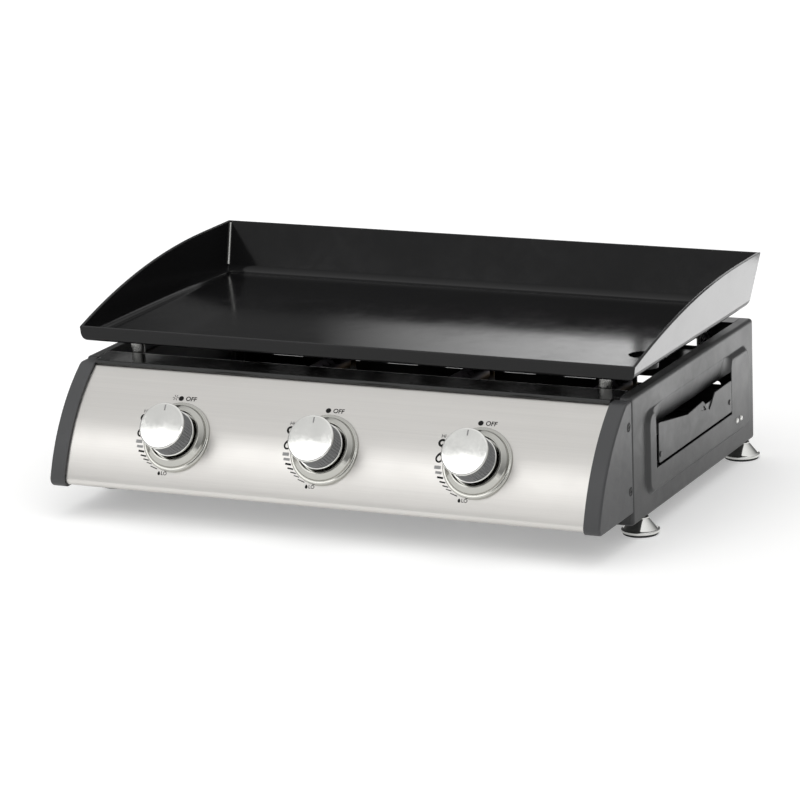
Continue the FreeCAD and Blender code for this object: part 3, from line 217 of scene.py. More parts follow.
def grain_effect():
    """Brush lines that run along X: long thin streaks with slower bands between them."""
    tree, given, result = new_effect("brush_grain", [("Along", 3.0), ("Across", 2600.0), ("Band", 120.0)],
                                     [("Grain", "NodeSocketFloat"), ("Band", "NodeSocketFloat")])
    place = add_node(tree, "ShaderNodeTexCoord").outputs["Object"]
    parts = add_node(tree, "ShaderNodeSeparateXYZ", {0: place})
    along = maths(tree, "MULTIPLY", parts.outputs["X"], given.outputs["Along"])
    for target, across in (("Grain", "Across"), ("Band", "Band")):
        depth = maths(tree, "MULTIPLY", parts.outputs["Y"], given.outputs[across])
        height = maths(tree, "MULTIPLY", parts.outputs["Z"], given.outputs[across])
        stretched = add_node(tree, "ShaderNodeCombineXYZ", {0: along, 1: depth, 2: height})
        noise = add_node(tree, "ShaderNodeTexNoise",
                         {"Vector": stretched.outputs[0], "Scale": 1.0, "Detail": 3.0, "Roughness": 0.6})
        tree.links.new(noise.outputs[0], result.inputs[target])
    return tree


def mottle_effect():
    """Slow cloudy change over the surface, and the same with finer smears in it."""
    tree, given, result = new_effect("mottle", [("Scale", 12.0)],
                                     [("Cloud", "NodeSocketFloat"), ("Smear", "NodeSocketFloat")])
    smears_per_cloud = 7.0
    place = add_node(tree, "ShaderNodeTexCoord").outputs["Object"]
    cloud = add_node(tree, "ShaderNodeTexNoise",
                     {"Vector": place, "Scale": given.outputs["Scale"], "Detail": 2.0, "Roughness": 0.5})
    finer = maths(tree, "MULTIPLY", given.outputs["Scale"], smears_per_cloud)
    smear = add_node(tree, "ShaderNodeTexNoise",
                     {"Vector": place, "Scale": finer, "Detail": 4.0, "Roughness": 0.65, "Distortion": 0.6})
    both = maths(tree, "MULTIPLY", cloud.outputs[0], smear.outputs[0])
    tree.links.new(cloud.outputs[0], result.inputs["Cloud"])
    tree.links.new(spread(tree, both, 0.0, 1.0, from_low=0.12, from_high=0.42), result.inputs["Smear"])
    return tree


def pebble_effect():
    """Fine pebbled skin of powder coat, moulded plastic and castings."""
    tree, given, result = new_effect("pebble", [("Scale", 900.0)], [("Height", "NodeSocketFloat")])
    place = add_node(tree, "ShaderNodeTexCoord").outputs["Object"]
    cells = add_node(tree, "ShaderNodeTexVoronoi", {"Vector": place, "Scale": given.outputs["Scale"]},
                     feature="SMOOTH_F1")
    noise = add_node(tree, "ShaderNodeTexNoise",
                     {"Vector": place, "Scale": given.outputs["Scale"], "Detail": 2.0})
    height = maths(tree, "MULTIPLY", cells.outputs["Distance"], noise.outputs[0])
    tree.links.new(height, result.inputs["Height"])
    return tree


def edge_effect():
    """Rounded normal at sharp edges, and a mask of those edges."""
    tree, given, result = new_effect("soft_edges", [("Radius", 0.0006)],
                                     [("Normal", "NodeSocketVector"), ("Mask", "NodeSocketFloat")])
    rounded = add_node(tree, "ShaderNodeBevel", {"Radius": given.outputs["Radius"]}, samples=4)
    flat = add_node(tree, "ShaderNodeNewGeometry")
    match = add_node(tree, "ShaderNodeVectorMath", {0: rounded.outputs[0], 1: flat.outputs["Normal"]},
                     operation="DOT_PRODUCT")
    mask = spread(tree, match.outputs["Value"], 1.0, 0.0, from_low=0.7, from_high=0.995)
    tree.links.new(rounded.outputs[0], result.inputs["Normal"])
    tree.links.new(mask, result.inputs["Mask"])
    return tree


EFFECTS = {
    "brush_grain": grain_effect,
    "mottle": mottle_effect,
    "pebble": pebble_effect,
    "soft_edges": edge_effect,
}


def use_effect(tree, name, **values):
    """Place one of the shared effects in a material with its own values."""
    group = bpy.data.node_groups.get(name) or EFFECTS[name]()
    made = add_node(tree, "ShaderNodeGroup", node_tree=group)
    for label, value in values.items():
        made.inputs[label].default_value = value
    return made.outputs


def new_finish(name, **values):
    """New material with a Principled shader whose constants are set."""
    material = bpy.data.materials.new(name)
    material.use_nodes = True
    tree = material.node_tree
    tree.nodes.clear()
    shader = add_node(tree, "ShaderNodeBsdfPrincipled")
    for label, value in values.items():
        shader.inputs[label.replace("_", " ")].default_value = value
    output = tree.nodes.new("ShaderNodeOutputMaterial")
    tree.links.new(shader.outputs[0], output.inputs["Surface"])
    return material, tree, shader


def tint(tree, shader, mask, first, second):
    """Colour that runs from the first to the second with a mask."""
    tree.links.new(blend_colours(tree, mask, first, second), shader.inputs["Base Color"])


def roughen(tree, shader, mask, low, high):
    """Roughness that runs from low to high with a mask."""
    tree.links.new(spread(tree, mask, low, high), shader.inputs["Roughness"])


def bump(tree, shader, height, distance, strength, normal=None):
    """Relief of a given depth in metres, laid over a rounded normal where there is one."""
    inputs = {"Height": height, "Distance": distance, "Strength": strength}
    if normal is not None:
        inputs["Normal"] = normal
    tree.links.new(add_node(tree, "ShaderNodeBump", inputs).outputs[0], shader.inputs["Normal"])


def paint_nodes(material, names):
    """Give CAD nodes a finish."""
    for name in names:
        mesh = NODES[name].data
        if not mesh.materials:
            mesh.materials.append(material)
        for index in range(len(mesh.materials)):
            mesh.materials[index] = material


def enamel_finish():
    """Gloss black enamel with faint orange peel, wiped smears, rounded edges and a painted highlight along them.
    """
    material, tree, shader = new_finish("griddle_enamel", IOR=1.35)
    rgb = settings("finishes").enamel
    mottle = use_effect(tree, "mottle", Scale=9.0)
    edges = use_effect(tree, "soft_edges", Radius=0.0011)
    base = blend_colours(tree, mottle["Cloud"], shade(rgb, 0.8), shade(rgb, 1.3))
    # Painted highlight: the enamel's edges are tinted four times lighter.
    tint(tree, shader, edges["Mask"], base, shade(rgb, 4.0))
    roughen(tree, shader, mottle["Smear"], 0.09, 0.19)
    peel = use_effect(tree, "mottle", Scale=22.0)
    bump(tree, shader, peel["Smear"], 0.00003, 0.6, edges["Normal"])
    return material


def painted_finish(name, rgb, roughness, pebble_scale, depth, edge_wear_and_highlight):
    """Sprayed metal: pebbled skin, cloudy colour, and edges made lighter, partly as worn paint and partly as a
    painted highlight.
    """
    material, tree, shader = new_finish(name, IOR=1.5)
    mottle = use_effect(tree, "mottle", Scale=6.0)
    edges = use_effect(tree, "soft_edges", Radius=0.0007)
    base = blend_colours(tree, mottle["Cloud"], shade(rgb, 0.9), shade(rgb, 1.1))
    # Lighter edges: partly worn paint, partly a painted highlight.
    tint(tree, shader, edges["Mask"], base, shade(rgb, edge_wear_and_highlight))
    roughen(tree, shader, mottle["Smear"], roughness - 0.05, roughness + 0.07)
    pebble = use_effect(tree, "pebble", Scale=pebble_scale)
    bump(tree, shader, pebble["Height"], depth, 0.5, edges["Normal"])
    return material


def brushed_finish(name, rgb, roughness, along, across):
    """Brushed sheet: streaks along X in colour, gloss and relief."""
    material, tree, shader = new_finish(name, Metallic=1.0)
    grain_share = 0.6
    band_share = 0.4
    streaks_per_band = 18
    low, high = 0.3, 0.7
    grain = use_effect(tree, "brush_grain", Along=along, Across=across, Band=across / streaks_per_band)
    mottle = use_effect(tree, "mottle", Scale=5.0)
    streak = maths(tree, "ADD", maths(tree, "MULTIPLY", grain["Grain"], grain_share),
                   maths(tree, "MULTIPLY", grain["Band"], band_share))
    tint(tree, shader, spread(tree, streak, 0.0, 1.0, low, high), shade(rgb, 0.94), shade(rgb, 1.05))
    gloss = maths(tree, "ADD", spread(tree, streak, roughness - 0.03, roughness + 0.04, low, high),
                  spread(tree, mottle["Smear"], -0.02, 0.03))
    tree.links.new(gloss, shader.inputs["Roughness"])
    edges = use_effect(tree, "soft_edges", Radius=0.0005)
    bump(tree, shader, grain["Grain"], 0.00001, 0.4, edges["Normal"])
    return material


def plated_finish(name, rgb, low, high, scale):
    """Bright plating with wiped smears in its gloss."""
    material, tree, shader = new_finish(name, Metallic=1.0)
    mottle = use_effect(tree, "mottle", Scale=scale)
    tint(tree, shader, mottle["Cloud"], shade(rgb, 0.94), shade(rgb, 1.04))
    roughen(tree, shader, mottle["Smear"], low, high)
    edges = use_effect(tree, "soft_edges", Radius=0.0003)
    bump(tree, shader, mottle["Smear"], 0.000004, 0.3, edges["Normal"])
    return material


def moulded_finish(name, rgb, roughness, pebble_scale, depth, edge_rub_and_highlight=1.15, ior=1.48):
    """Moulded plastic, rubber or ink with a fine skin and edges made lighter, partly as rub marks and partly as a
    painted highlight.
    """
    material, tree, shader = new_finish(name, IOR=ior)
    mottle = use_effect(tree, "mottle", Scale=14.0)
    pebble = use_effect(tree, "pebble", Scale=pebble_scale)
    edges = use_effect(tree, "soft_edges", Radius=0.0005)
    base = blend_colours(tree, mottle["Cloud"], shade(rgb, 0.88), shade(rgb, 1.12))
    # Lighter edges: partly rub marks, partly a painted highlight.
    tint(tree, shader, edges["Mask"], base, shade(rgb, edge_rub_and_highlight))
    roughen(tree, shader, mottle["Smear"], roughness - 0.05, roughness + 0.06)
    bump(tree, shader, pebble["Height"], depth, 0.6, edges["Normal"])
    return material


def heated_finish():
    """Stainless burner tube whose colour goes from straw to a dark top above the ports, partly heat tint and
    partly painted shade inside the casing.
    """
    finishes = settings("finishes")
    material, tree, shader = new_finish("burner_steel", Metallic=1.0)
    grain = use_effect(tree, "brush_grain", Along=900.0, Across=60.0, Band=30.0)
    mottle = use_effect(tree, "mottle", Scale=30.0)
    place = add_node(tree, "ShaderNodeTexCoord").outputs["Object"]
    height = add_node(tree, "ShaderNodeSeparateXYZ", {0: place})
    low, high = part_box("burner_centre")
    warmth = maths(tree, "ADD", spread(tree, height.outputs["Z"], 0.0, 0.9, low.z, high.z),
                   spread(tree, mottle["Cloud"], -0.2, 0.2))
    warm = spread(tree, warmth, 0.0, 1.0, from_low=0.15, from_high=0.4)
    straw = blend_colours(tree, warm, shade(finishes.steel, 0.6), shade(finishes.straw))
    # Darker towards the top: partly heat tint, partly painted shade under the plate.
    scorch_and_shade = spread(tree, warmth, 0.0, 1.0, from_low=0.35, from_high=0.6)
    tint(tree, shader, scorch_and_shade, straw, shade(finishes.scorched_and_shaded))
    roughen(tree, shader, grain["Grain"], 0.4, 0.6)
    return material


def cast_finish(name, rgb, metallic, low, high):
    """Machined or cast gas fittings."""
    material, tree, shader = new_finish(name, Metallic=metallic)
    mottle = use_effect(tree, "mottle", Scale=45.0)
    pebble = use_effect(tree, "pebble", Scale=1400.0)
    tint(tree, shader, mottle["Cloud"], shade(rgb, 0.82), shade(rgb, 1.1))
    roughen(tree, shader, mottle["Smear"], low, high)
    bump(tree, shader, pebble["Height"], 0.00005, 0.4)
    return material


def finish_piece(name, form, material, body):
    """Turn a bmesh into a named piece that rides on a body."""
    mesh = bpy.data.meshes.new(name)
    bmesh.ops.recalc_face_normals(form, faces=form.faces[:])
    form.to_mesh(mesh)
    form.free()
    mesh.materials.append(material)
    piece = bpy.data.objects.new(name, mesh)
    bpy.context.scene.collection.objects.link(piece)
    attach(piece, body)
    return piece


class GRIDDLE_OT_plate(bpy.types.Operator):
    """Enamel the cooking plate and plate its posts"""
    bl_idname = "griddle.plate"
    bl_label = "Finish Plate"

    def execute(self, context):
        zinc = settings("finishes").zinc
        paint_nodes(enamel_finish(), ["griddle_plate"])
        plating = plated_finish("post_plating", zinc, low=0.14, high=0.32, scale=40.0)
        paint_nodes(plating, ["griddle_posts"])
        return {"FINISHED"}


def rear_corner(side, height):
    """Point on the inner corner line between a side wall and the rear wall of the plate."""
    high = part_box("griddle_plate")[1]
    drop = high.z - height
    side_lean = 0.11
    rear_lean = 0.431
    inset = 0.0034
    return Vector((side * (high.x - side_lean * drop - inset), high.y - rear_lean * drop - inset, height))


class GRIDDLE_OT_welds(bpy.types.Operator):
    """Lay a rippled weld bead in each rear corner of the plate"""
    bl_idname = "griddle.welds"
    bl_label = "Lay Welds"

    def execute(self, context):
        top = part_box("griddle_plate")[1].z
        zinc = settings("finishes").zinc
        bare_steel = plated_finish("weld_steel", zinc, low=0.2, high=0.36, scale=60.0)
        top_clear = 0.002
        bottom_clear = 0.045
        for name, side in (("left", -1), ("right", 1)):
            bead = self.lay_bead(rear_corner(side, top - bottom_clear), rear_corner(side, top - top_clear))
            piece = finish_piece("weld_" + name, bead, bare_steel, "griddle")
            piece.data.shade_smooth()
        return {"FINISHED"}

    def lay_bead(self, start, end):
        """Round bar from start to end that swells at every second step."""
        details = settings("details")
        ripple = 1.14
        bead = bmesh.new()
        ring = bmesh.ops.create_circle(bead, segments=10, radius=details.weld_radius, cap_ends=True)["verts"]
        turn = (end - start).normalized().to_track_quat("Z", "Y").to_matrix().to_4x4()
        bmesh.ops.transform(bead, matrix=Matrix.Translation(start) @ turn, verts=ring)
        face = bead.faces[:]
        steps = 2 * round((end - start).length / details.weld_pitch)
        stride = (end - start) / steps
        for step in range(steps):
            grown = bmesh.ops.extrude_face_region(bead, geom=face)["geom"]
            if step:
                bmesh.ops.delete(bead, geom=face, context="FACES_ONLY")
            face = [item for item in grown if isinstance(item, bmesh.types.BMFace)]
            ring = [item for item in grown if isinstance(item, bmesh.types.BMVert)]
            bmesh.ops.translate(bead, vec=stride, verts=ring)
            middle = Matrix.Translation(-(start + stride * (step + 1)))
            swell = ripple if step % 2 else 1 / ripple
            bmesh.ops.scale(bead, vec=(swell, swell, swell), space=middle, verts=ring)
        return bead


class GRIDDLE_OT_casing(bpy.types.Operator):
    """Paint the casing, its caps, screws and feet"""
    bl_idname = "griddle.casing"
    bl_label = "Finish Casing"

    def execute(self, context):
        finishes = settings("finishes")
        # The lighter edges of these paints are partly worn paint and partly a painted highlight.
        side = painted_finish("side_paint", finishes.side_paint, roughness=0.42, pebble_scale=700.0,
                              depth=0.00005, edge_wear_and_highlight=2.4)
        paint_nodes(side, ["right_side_panel", "left_side_panel", "grease_tray_front"])
        black = painted_finish("black_paint", finishes.black_paint, roughness=0.34, pebble_scale=800.0,
                               depth=0.00004, edge_wear_and_highlight=2.2)
        paint_nodes(black, ["base_pan", "rear_panel", "plate_shelves", "burner_front_wall", "tray_runners",
                            "manifold_brackets", "end_cap_screws", "grease_tray", "grease_tray_rivets"])
        # The rail's edges are tinted six times lighter: a painted highlight, with some worn paint.
        gloss = painted_finish("gloss_black_paint", finishes.black_paint, roughness=0.14, pebble_scale=800.0,
                               depth=0.00001, edge_wear_and_highlight=6.0)
        paint_nodes(gloss, ["front_rail"])
        # The end caps' lighter edges are partly rub marks and partly a painted highlight.
        cap = moulded_finish("cap_plastic", finishes.cap, roughness=0.46, pebble_scale=1100.0, depth=0.00008,
                             edge_rub_and_highlight=1.9)
        paint_nodes(cap, ["left_end_cap", "right_end_cap"])
        zinc = plated_finish("zinc_plating", finishes.zinc, low=0.22, high=0.42, scale=25.0)
        paint_nodes(zinc, ["rear_panel_screws", "panel_rivets", "foot_nuts", "valve_covers"])
        chrome = plated_finish("foot_chrome", finishes.chrome, low=0.05, high=0.14, scale=30.0)
        paint_nodes(chrome, ["foot_front_left", "foot_front_right", "foot_rear_left", "foot_rear_right"])
        rubber = moulded_finish("foot_rubber", finishes.rubber, roughness=0.75, pebble_scale=900.0,
                                depth=0.00006)
        paint_nodes(rubber, ["foot_pads"])
        return {"FINISHED"}


def knob_axis(name):
    """Where a knob's axis leaves the panel, and its direction out of it."""
    joint = JOINTS[name + "_knob_turn"]
    return Vector(joint["pos_m"]), Vector(joint["axis"])


def smooth_knob(name, material):
    """Merged copy of a knob's solid, because the solid's shading has a flaw in the middle of the face."""
    solid = NODES["knob_" + name].data
    seat, out = knob_axis(name)
    flaw_radius = 0.0001
    flaw_height = 0.03
    copy = bmesh.new()
    copy.from_mesh(solid)
    shading = copy.loops.layers.float_vector.new("shading")
    for face, source in zip(copy.faces, solid.polygons):
        for corner, index in zip(face.loops, source.loop_indices):
            place = corner.vert.co - seat
            height = place.dot(out)
            flawed = height > flaw_height and (place - out * height).length < flaw_radius
            corner[shading] = out if flawed else solid.corner_normals[index].vector
    bmesh.ops.remove_doubles(copy, verts=copy.verts[:], dist=1e-6)
    piece = finish_piece("knob_body_" + name, copy, material, name + "_knob")
    attributes = piece.data.attributes
    piece.data.normals_split_custom_set([corner.vector[:] for corner in attributes["shading"].data])
    attributes.remove(attributes["shading"])
    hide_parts("knob_" + name)


def paint_pointer(name, paint):
    """Thin bar of paint in the groove of a knob's cap."""
    details = settings("details")
    seat, out = knob_axis(name)
    across = Vector((1, 0, 0))
    upward = across.cross(out) * -1
    thickness = 0.0003
    edge_round = 0.0001
    groove_middle = 0.019
    groove_floor = 0.0369
    mark = bmesh.new()
    bmesh.ops.create_cube(mark, size=1.0)
    bmesh.ops.scale(mark, vec=(details.pointer_width, details.pointer_length, thickness), verts=mark.verts)
    bmesh.ops.bevel(mark, geom=mark.edges[:], offset=edge_round, affect="EDGES", segments=2, profile=0.5,
                    material=-1)
    centre = seat + upward * groove_middle + out * (groove_floor + thickness / 2)
    turn = Matrix((across, upward, out)).transposed().to_4x4()
    bmesh.ops.transform(mark, matrix=Matrix.Translation(centre) @ turn, verts=mark.verts)
    finish_piece("pointer_" + name, mark, paint, name + "_knob")


class GRIDDLE_OT_controls(bpy.types.Operator):
    """Finish the control panel, bezels and knobs, and paint each knob's pointer"""
    bl_idname = "griddle.controls"
    bl_label = "Finish Controls"

    def execute(self, context):
        finishes = settings("finishes")
        steel = brushed_finish("brushed_stainless", finishes.steel, roughness=0.33, along=3.0, across=2600.0)
        paint_nodes(steel, ["control_panel"])
        chrome = plated_finish("chrome", finishes.chrome, low=0.04, high=0.12, scale=35.0)
        # The grip's ribs are tinted lighter at their crests: a painted highlight, with some rub marks.
        grip = moulded_finish("grip_plastic", finishes.grip, roughness=0.42, pebble_scale=1500.0,
                              depth=0.00004, edge_rub_and_highlight=3.4)
        # The bezels' darker colour is partly duller plating and partly painted shade.
        bezel = plated_finish("dull_shaded_bezel_chrome", finishes.dull_shaded_bezel_chrome, low=0.08, high=0.18, scale=35.0)
        paint = moulded_finish("pointer_paint", finishes.faint_ink, roughness=0.5, pebble_scale=2000.0,
                               depth=0.00001)
        for name in KNOBS:
            paint_nodes(bezel, ["bezel_" + name])
            paint_nodes(chrome, ["knob_" + name])
            smooth_knob(name, chrome)
            paint_nodes(grip, ["knob_grip_" + name])
            paint_pointer(name, paint)
        return {"FINISHED"}


class GRIDDLE_OT_gas_train(bpy.types.Operator):
    """Finish the burners, valves, pipes and ignition"""
    bl_idname = "griddle.gas_train"
    bl_label = "Finish Gas Train"

    def execute(self, context):
        finishes = settings("finishes")
        paint_nodes(heated_finish(), ["burner_left", "burner_centre", "burner_right", "burner_rear_brackets"])
        tube = plated_finish("gas_tube", finishes.zinc, low=0.25, high=0.4, scale=25.0)
        paint_nodes(tube, ["gas_manifold", "gas_feed_pipe"])
        brass = cast_finish("brass", finishes.brass, metallic=1.0, low=0.2, high=0.38)
        paint_nodes(brass, ["gas_inlet", "inlet_locknut", "gas_jets"])
        alloy = cast_finish("valve_alloy", finishes.alloy, metallic=1.0, low=0.35, high=0.55)
        for name in KNOBS:
            paint_nodes(brass, ["valve_plug_" + name, "valve_stem_" + name])
            paint_nodes(alloy, ["valve_body_" + name])
        ceramic = cast_finish("ceramic", finishes.ceramic, metallic=0.0, low=0.18, high=0.3)
        paint_nodes(ceramic, ["ignition_electrodes"])
        wire = cast_finish("spark_wire", finishes.zinc, metallic=1.0, low=0.3, high=0.5)
        paint_nodes(wire, ["electrode_tips"])
        igniter = moulded_finish("igniter_plastic", finishes.rubber, roughness=0.5, pebble_scale=1200.0,
                                 depth=0.00004)
        paint_nodes(igniter, ["igniters"])
        sleeve = moulded_finish("lead_sleeve", finishes.lead, roughness=0.5, pebble_scale=1500.0,
                                depth=0.00003)
        paint_nodes(sleeve, ["ignition_leads"])
        return {"FINISHED"}


class GRIDDLE_OT_inlet_thread(bpy.types.Operator):
    """Cut the helical thread on the gas inlet"""
    bl_idname = "griddle.inlet_thread"
    bl_label = "Thread Inlet"

    def execute(self, context):
        details = settings("details")
        pitch = details.thread_pitch
        mount = next(item for item in frame["record"]["mounts"] if item["name"] == "gas_inlet")
        radius = mount["dims"]["r_mm"] / 1000
        length = mount["dims"]["length_mm"] / 1000 - 2 * pitch
        turns = math.floor(length / pitch)
        start = Vector(mount["pos_m"]) - Vector((0, length / 2, 0))
        steps_per_turn = 24
        sunk = 0.0001
        root_half = pitch * 0.36
        crest_half = root_half * 0.2
        root = radius - sunk
        crest = radius + details.thread_depth
        corners = ((root, -root_half), (crest, -crest_half), (crest, crest_half), (root, root_half))
        thread = bmesh.new()
        section = [thread.verts.new(start + Vector((*corner, 0))) for corner in corners]
        profile = thread.faces.new(section)
        bmesh.ops.spin(thread, geom=[profile, *profile.edges, *section], cent=start, axis=(0, 1, 0),
                       dvec=(0, pitch / steps_per_turn, 0), angle=2 * math.pi * turns,
                       steps=steps_per_turn * turns, use_merge=False)
        bmesh.ops.remove_doubles(thread, verts=thread.verts[:], dist=1e-7)
        brass = NODES["gas_inlet"].data.materials[0]
        finish_piece("inlet_thread", thread, brass, "casing")
        return {"FINISHED"}


# Places of the signs on the unrolled panel, in metres to the right of and above the knob's axis.
SIGN_PLACES = {
    "dot": (-0.0071, 0.0424),
    "off": (-0.0019, 0.0424),
    "high": (-0.044, 0.0249),
    "arrow": (-0.0415, 0.0177),
    "flame": (-0.0412, 0.0025),
    "low_flame": (-0.0134, -0.0382),
    "low": (-0.0112, -0.0382),
    "spark": (-0.0136, 0.043),
    "tail": (-0.0198, -0.033),
}


def lay_flat(marks, verts, place, turn=0.0):
    """Put a flat mark at its place on the unrolled panel."""
    move = Matrix.Translation((*place, 0)) @ Matrix.Rotation(turn, 4, "Z")
    bmesh.ops.transform(marks, matrix=move, verts=verts)


def newest(marks, before):
    """Verts added to the marks since a set of them was taken."""
    return [vert for vert in marks.verts if vert not in before]


def add_bar(marks, place, length, width, turn):
    """Straight stroke, divided along its length so that it can follow the panel's curve."""
    bar = bmesh.ops.create_grid(marks, x_segments=6, y_segments=1, size=0.5)["verts"]
    bmesh.ops.scale(marks, vec=(length, width, 1), verts=bar)
    lay_flat(marks, bar, place, turn)


def add_dot(marks, place, radius):
    """Filled disc."""
    dot = bmesh.ops.create_circle(marks, segments=24, radius=radius, cap_ends=True)["verts"]
    lay_flat(marks, dot, place)


def drop_ring(marks, width, height):
    """Ring of edges in the shape of a drop with a pointed top."""
    ring = bmesh.ops.create_circle(marks, segments=28, radius=1.0)["verts"]
    taper = 2.2
    for vert in ring:
        lift = (vert.co.y + 1) / 2
        narrow = math.sqrt(max(0.0, 1 - lift ** taper))
        vert.co = (vert.co.x * narrow * width / 2, (lift - 0.5) * height, 0)
    return ring


def add_flame(marks, place, width, height, bare):
    """Flame sign: a drop whose bare share in the middle is left open."""
    before = set(marks.verts)
    outer = drop_ring(marks, width, height)
    if bare:
        inner = drop_ring(marks, width * bare, height * bare)
        sink = height * 0.06
        bmesh.ops.translate(marks, vec=(0, -sink, 0), verts=inner)
        edges = {edge for vert in outer + inner for edge in vert.link_edges}
        bmesh.ops.bridge_loops(marks, edges=list(edges))
    else:
        marks.faces.new(outer)
    lay_flat(marks, newest(marks, before), place)


def add_arrow(marks, place, radius, width):
    """Thick curved arrow that points the way the knob opens."""
    before = set(marks.verts)
    sweep = math.radians(225)
    start_turn = math.radians(48)
    head_length = width * 1.6
    ends = [marks.verts.new((radius - width / 2, 0, 0)), marks.verts.new((radius + width / 2, 0, 0))]
    edge = marks.edges.new(ends)
    bmesh.ops.spin(marks, geom=[edge, *ends], cent=(0, 0, 0), axis=(0, 0, 1), angle=sweep, steps=16,
                   use_merge=False)
    tip = Vector((math.cos(sweep), math.sin(sweep), 0))
    ahead = Vector((-tip.y, tip.x, 0))
    corners = [tip * (radius - width), tip * (radius + width), tip * radius + ahead * head_length]
    marks.faces.new([marks.verts.new(corner) for corner in corners])
    lay_flat(marks, newest(marks, before), place, start_turn)


def add_words(marks, words, height, place):
    """Letters as flat faces, set out from the middle of their left end."""
    size_per_height = 1.38
    boldness = 0.02
    text = bpy.data.curves.new(words, "FONT")
    text.body = words
    text.size = height * size_per_height
    text.align_y = "CENTER"
    text.offset = height * boldness
    text.resolution_u = 8
    text.fill_mode = "FRONT"
    holder = bpy.data.objects.new(words, text)
    bpy.context.scene.collection.objects.link(holder)
    bpy.context.view_layer.update()
    drawn = holder.evaluated_get(bpy.context.evaluated_depsgraph_get())
    letters = bpy.data.meshes.new_from_object(drawn)
    before = set(marks.verts)
    marks.from_mesh(letters)
    lay_flat(marks, newest(marks, before), place)
    bpy.data.objects.remove(holder)
    bpy.data.curves.remove(text)
    bpy.data.meshes.remove(letters)


def add_spark(marks, place, radius):
    """Spark sign of the igniter: short rays round a gap."""
    rays = 6
    ray_middle = radius * 0.65
    ray_length = radius * 0.7
    ray_width = radius * 0.16
    for ray in range(rays):
        turn = 2 * math.pi * ray / rays
        middle = (place[0] + math.cos(turn) * ray_middle, place[1] + math.sin(turn) * ray_middle)
        add_bar(marks, middle, ray_length, ray_width, turn)


def roll_onto_panel(marks, knob, radius, lift):
    """Bend flat marks round the control panel; heights above the flat become heights above the panel."""
    seat, out = knob_axis(knob)
    tilt = math.atan2(out.z, -out.y)
    centre = seat - out * radius
    for vert in marks.verts:
        reach = radius + lift + vert.co.z
        turn = tilt + vert.co.y / radius
        vert.co = (seat.x + vert.co.x, centre.y - reach * math.cos(turn), centre.z + reach * math.sin(turn))


class GRIDDLE_OT_dials(bpy.types.Operator):
    """Print the flow marks round each knob"""
    bl_idname = "griddle.dials"
    bl_label = "Print Dials"

    def execute(self, context):
        finishes = settings("finishes")
        ink = moulded_finish("dial_ink", finishes.ink, roughness=0.55, pebble_scale=2000.0, depth=0.000005,
                             ior=1.2)
        faint_ink = moulded_finish("dial_faint_ink", finishes.faint_ink, roughness=0.55, pebble_scale=2000.0,
                                   depth=0.000005)
        for name in KNOBS:
            marks = bmesh.new()
            faint = bmesh.new()
            self.set_signs(settings("dials"), marks, faint, name == "left")
            self.set_flow_bars(settings("dials"), marks, faint)
            self.print_marks("dial_" + name, marks, ink, name)
            self.print_marks("dial_faint_" + name, faint, faint_ink, name)
        return {"FINISHED"}

    def set_signs(self, dials, marks, faint, with_spark):
        """Dot, letters, arrow and flames."""
        flame_width = dials.flame_height * 0.8
        flame_bare = 0.55
        add_dot(marks, SIGN_PLACES["dot"], dials.dot_radius)
        add_words(marks, "OFF", dials.off_height, SIGN_PLACES["off"])
        add_words(faint, "HI", dials.small_height, SIGN_PLACES["high"])
        add_arrow(marks, SIGN_PLACES["arrow"], dials.arrow_radius, dials.arrow_width)
        add_flame(marks, SIGN_PLACES["flame"], flame_width, dials.flame_height, flame_bare)
        add_flame(marks, SIGN_PLACES["low_flame"], dials.low_flame_width, dials.low_flame_height, bare=0)
        add_words(marks, "LO", dials.small_height, SIGN_PLACES["low"])
        if with_spark:
            add_spark(marks, SIGN_PLACES["spark"], dials.spark_radius)

    def set_flow_bars(self, dials, marks, faint):
        """Bars that thin out from the full flame to the small one, and a hairline tail."""
        first_turn, turn_range = 100.5, 38
        first_radius, radius_loss = 0.0418, 0.0031
        length_loss = 0.12
        last_share_of_first = 0.26
        last_slant = -12
        tail_slant = math.radians(-17)
        for step in range(dials.bars):
            share = step / (dials.bars - 1)
            turn = math.radians(first_turn + turn_range * share)
            radius = first_radius - radius_loss * share
            layer = faint if step < dials.faint_bars else marks
            length = dials.bar_length * (1 - length_loss * share)
            width = dials.first_bar * last_share_of_first ** share
            add_bar(layer, (-radius * math.sin(turn), radius * math.cos(turn)), length, width,
                    math.radians(last_slant * share))
        add_bar(marks, SIGN_PLACES["tail"], dials.tail_length, dials.tail_width, tail_slant)

    def print_marks(self, label, marks, ink, knob):
        """Give the flat marks the thickness of the ink and roll them onto the panel."""
        dials = settings("dials")
        flat = marks.faces[:]
        bmesh.ops.recalc_face_normals(marks, faces=flat)
        raised = bmesh.ops.extrude_face_region(marks, geom=flat, use_keep_orig=True)["geom"]
        top = [item for item in raised if isinstance(item, bmesh.types.BMVert)]
        bmesh.ops.translate(marks, vec=(0, 0, dials.ink_height), verts=top)
        roll_onto_panel(marks, knob, dials.panel_radius, dials.lift)
        finish_piece(label, marks, ink, "casing")


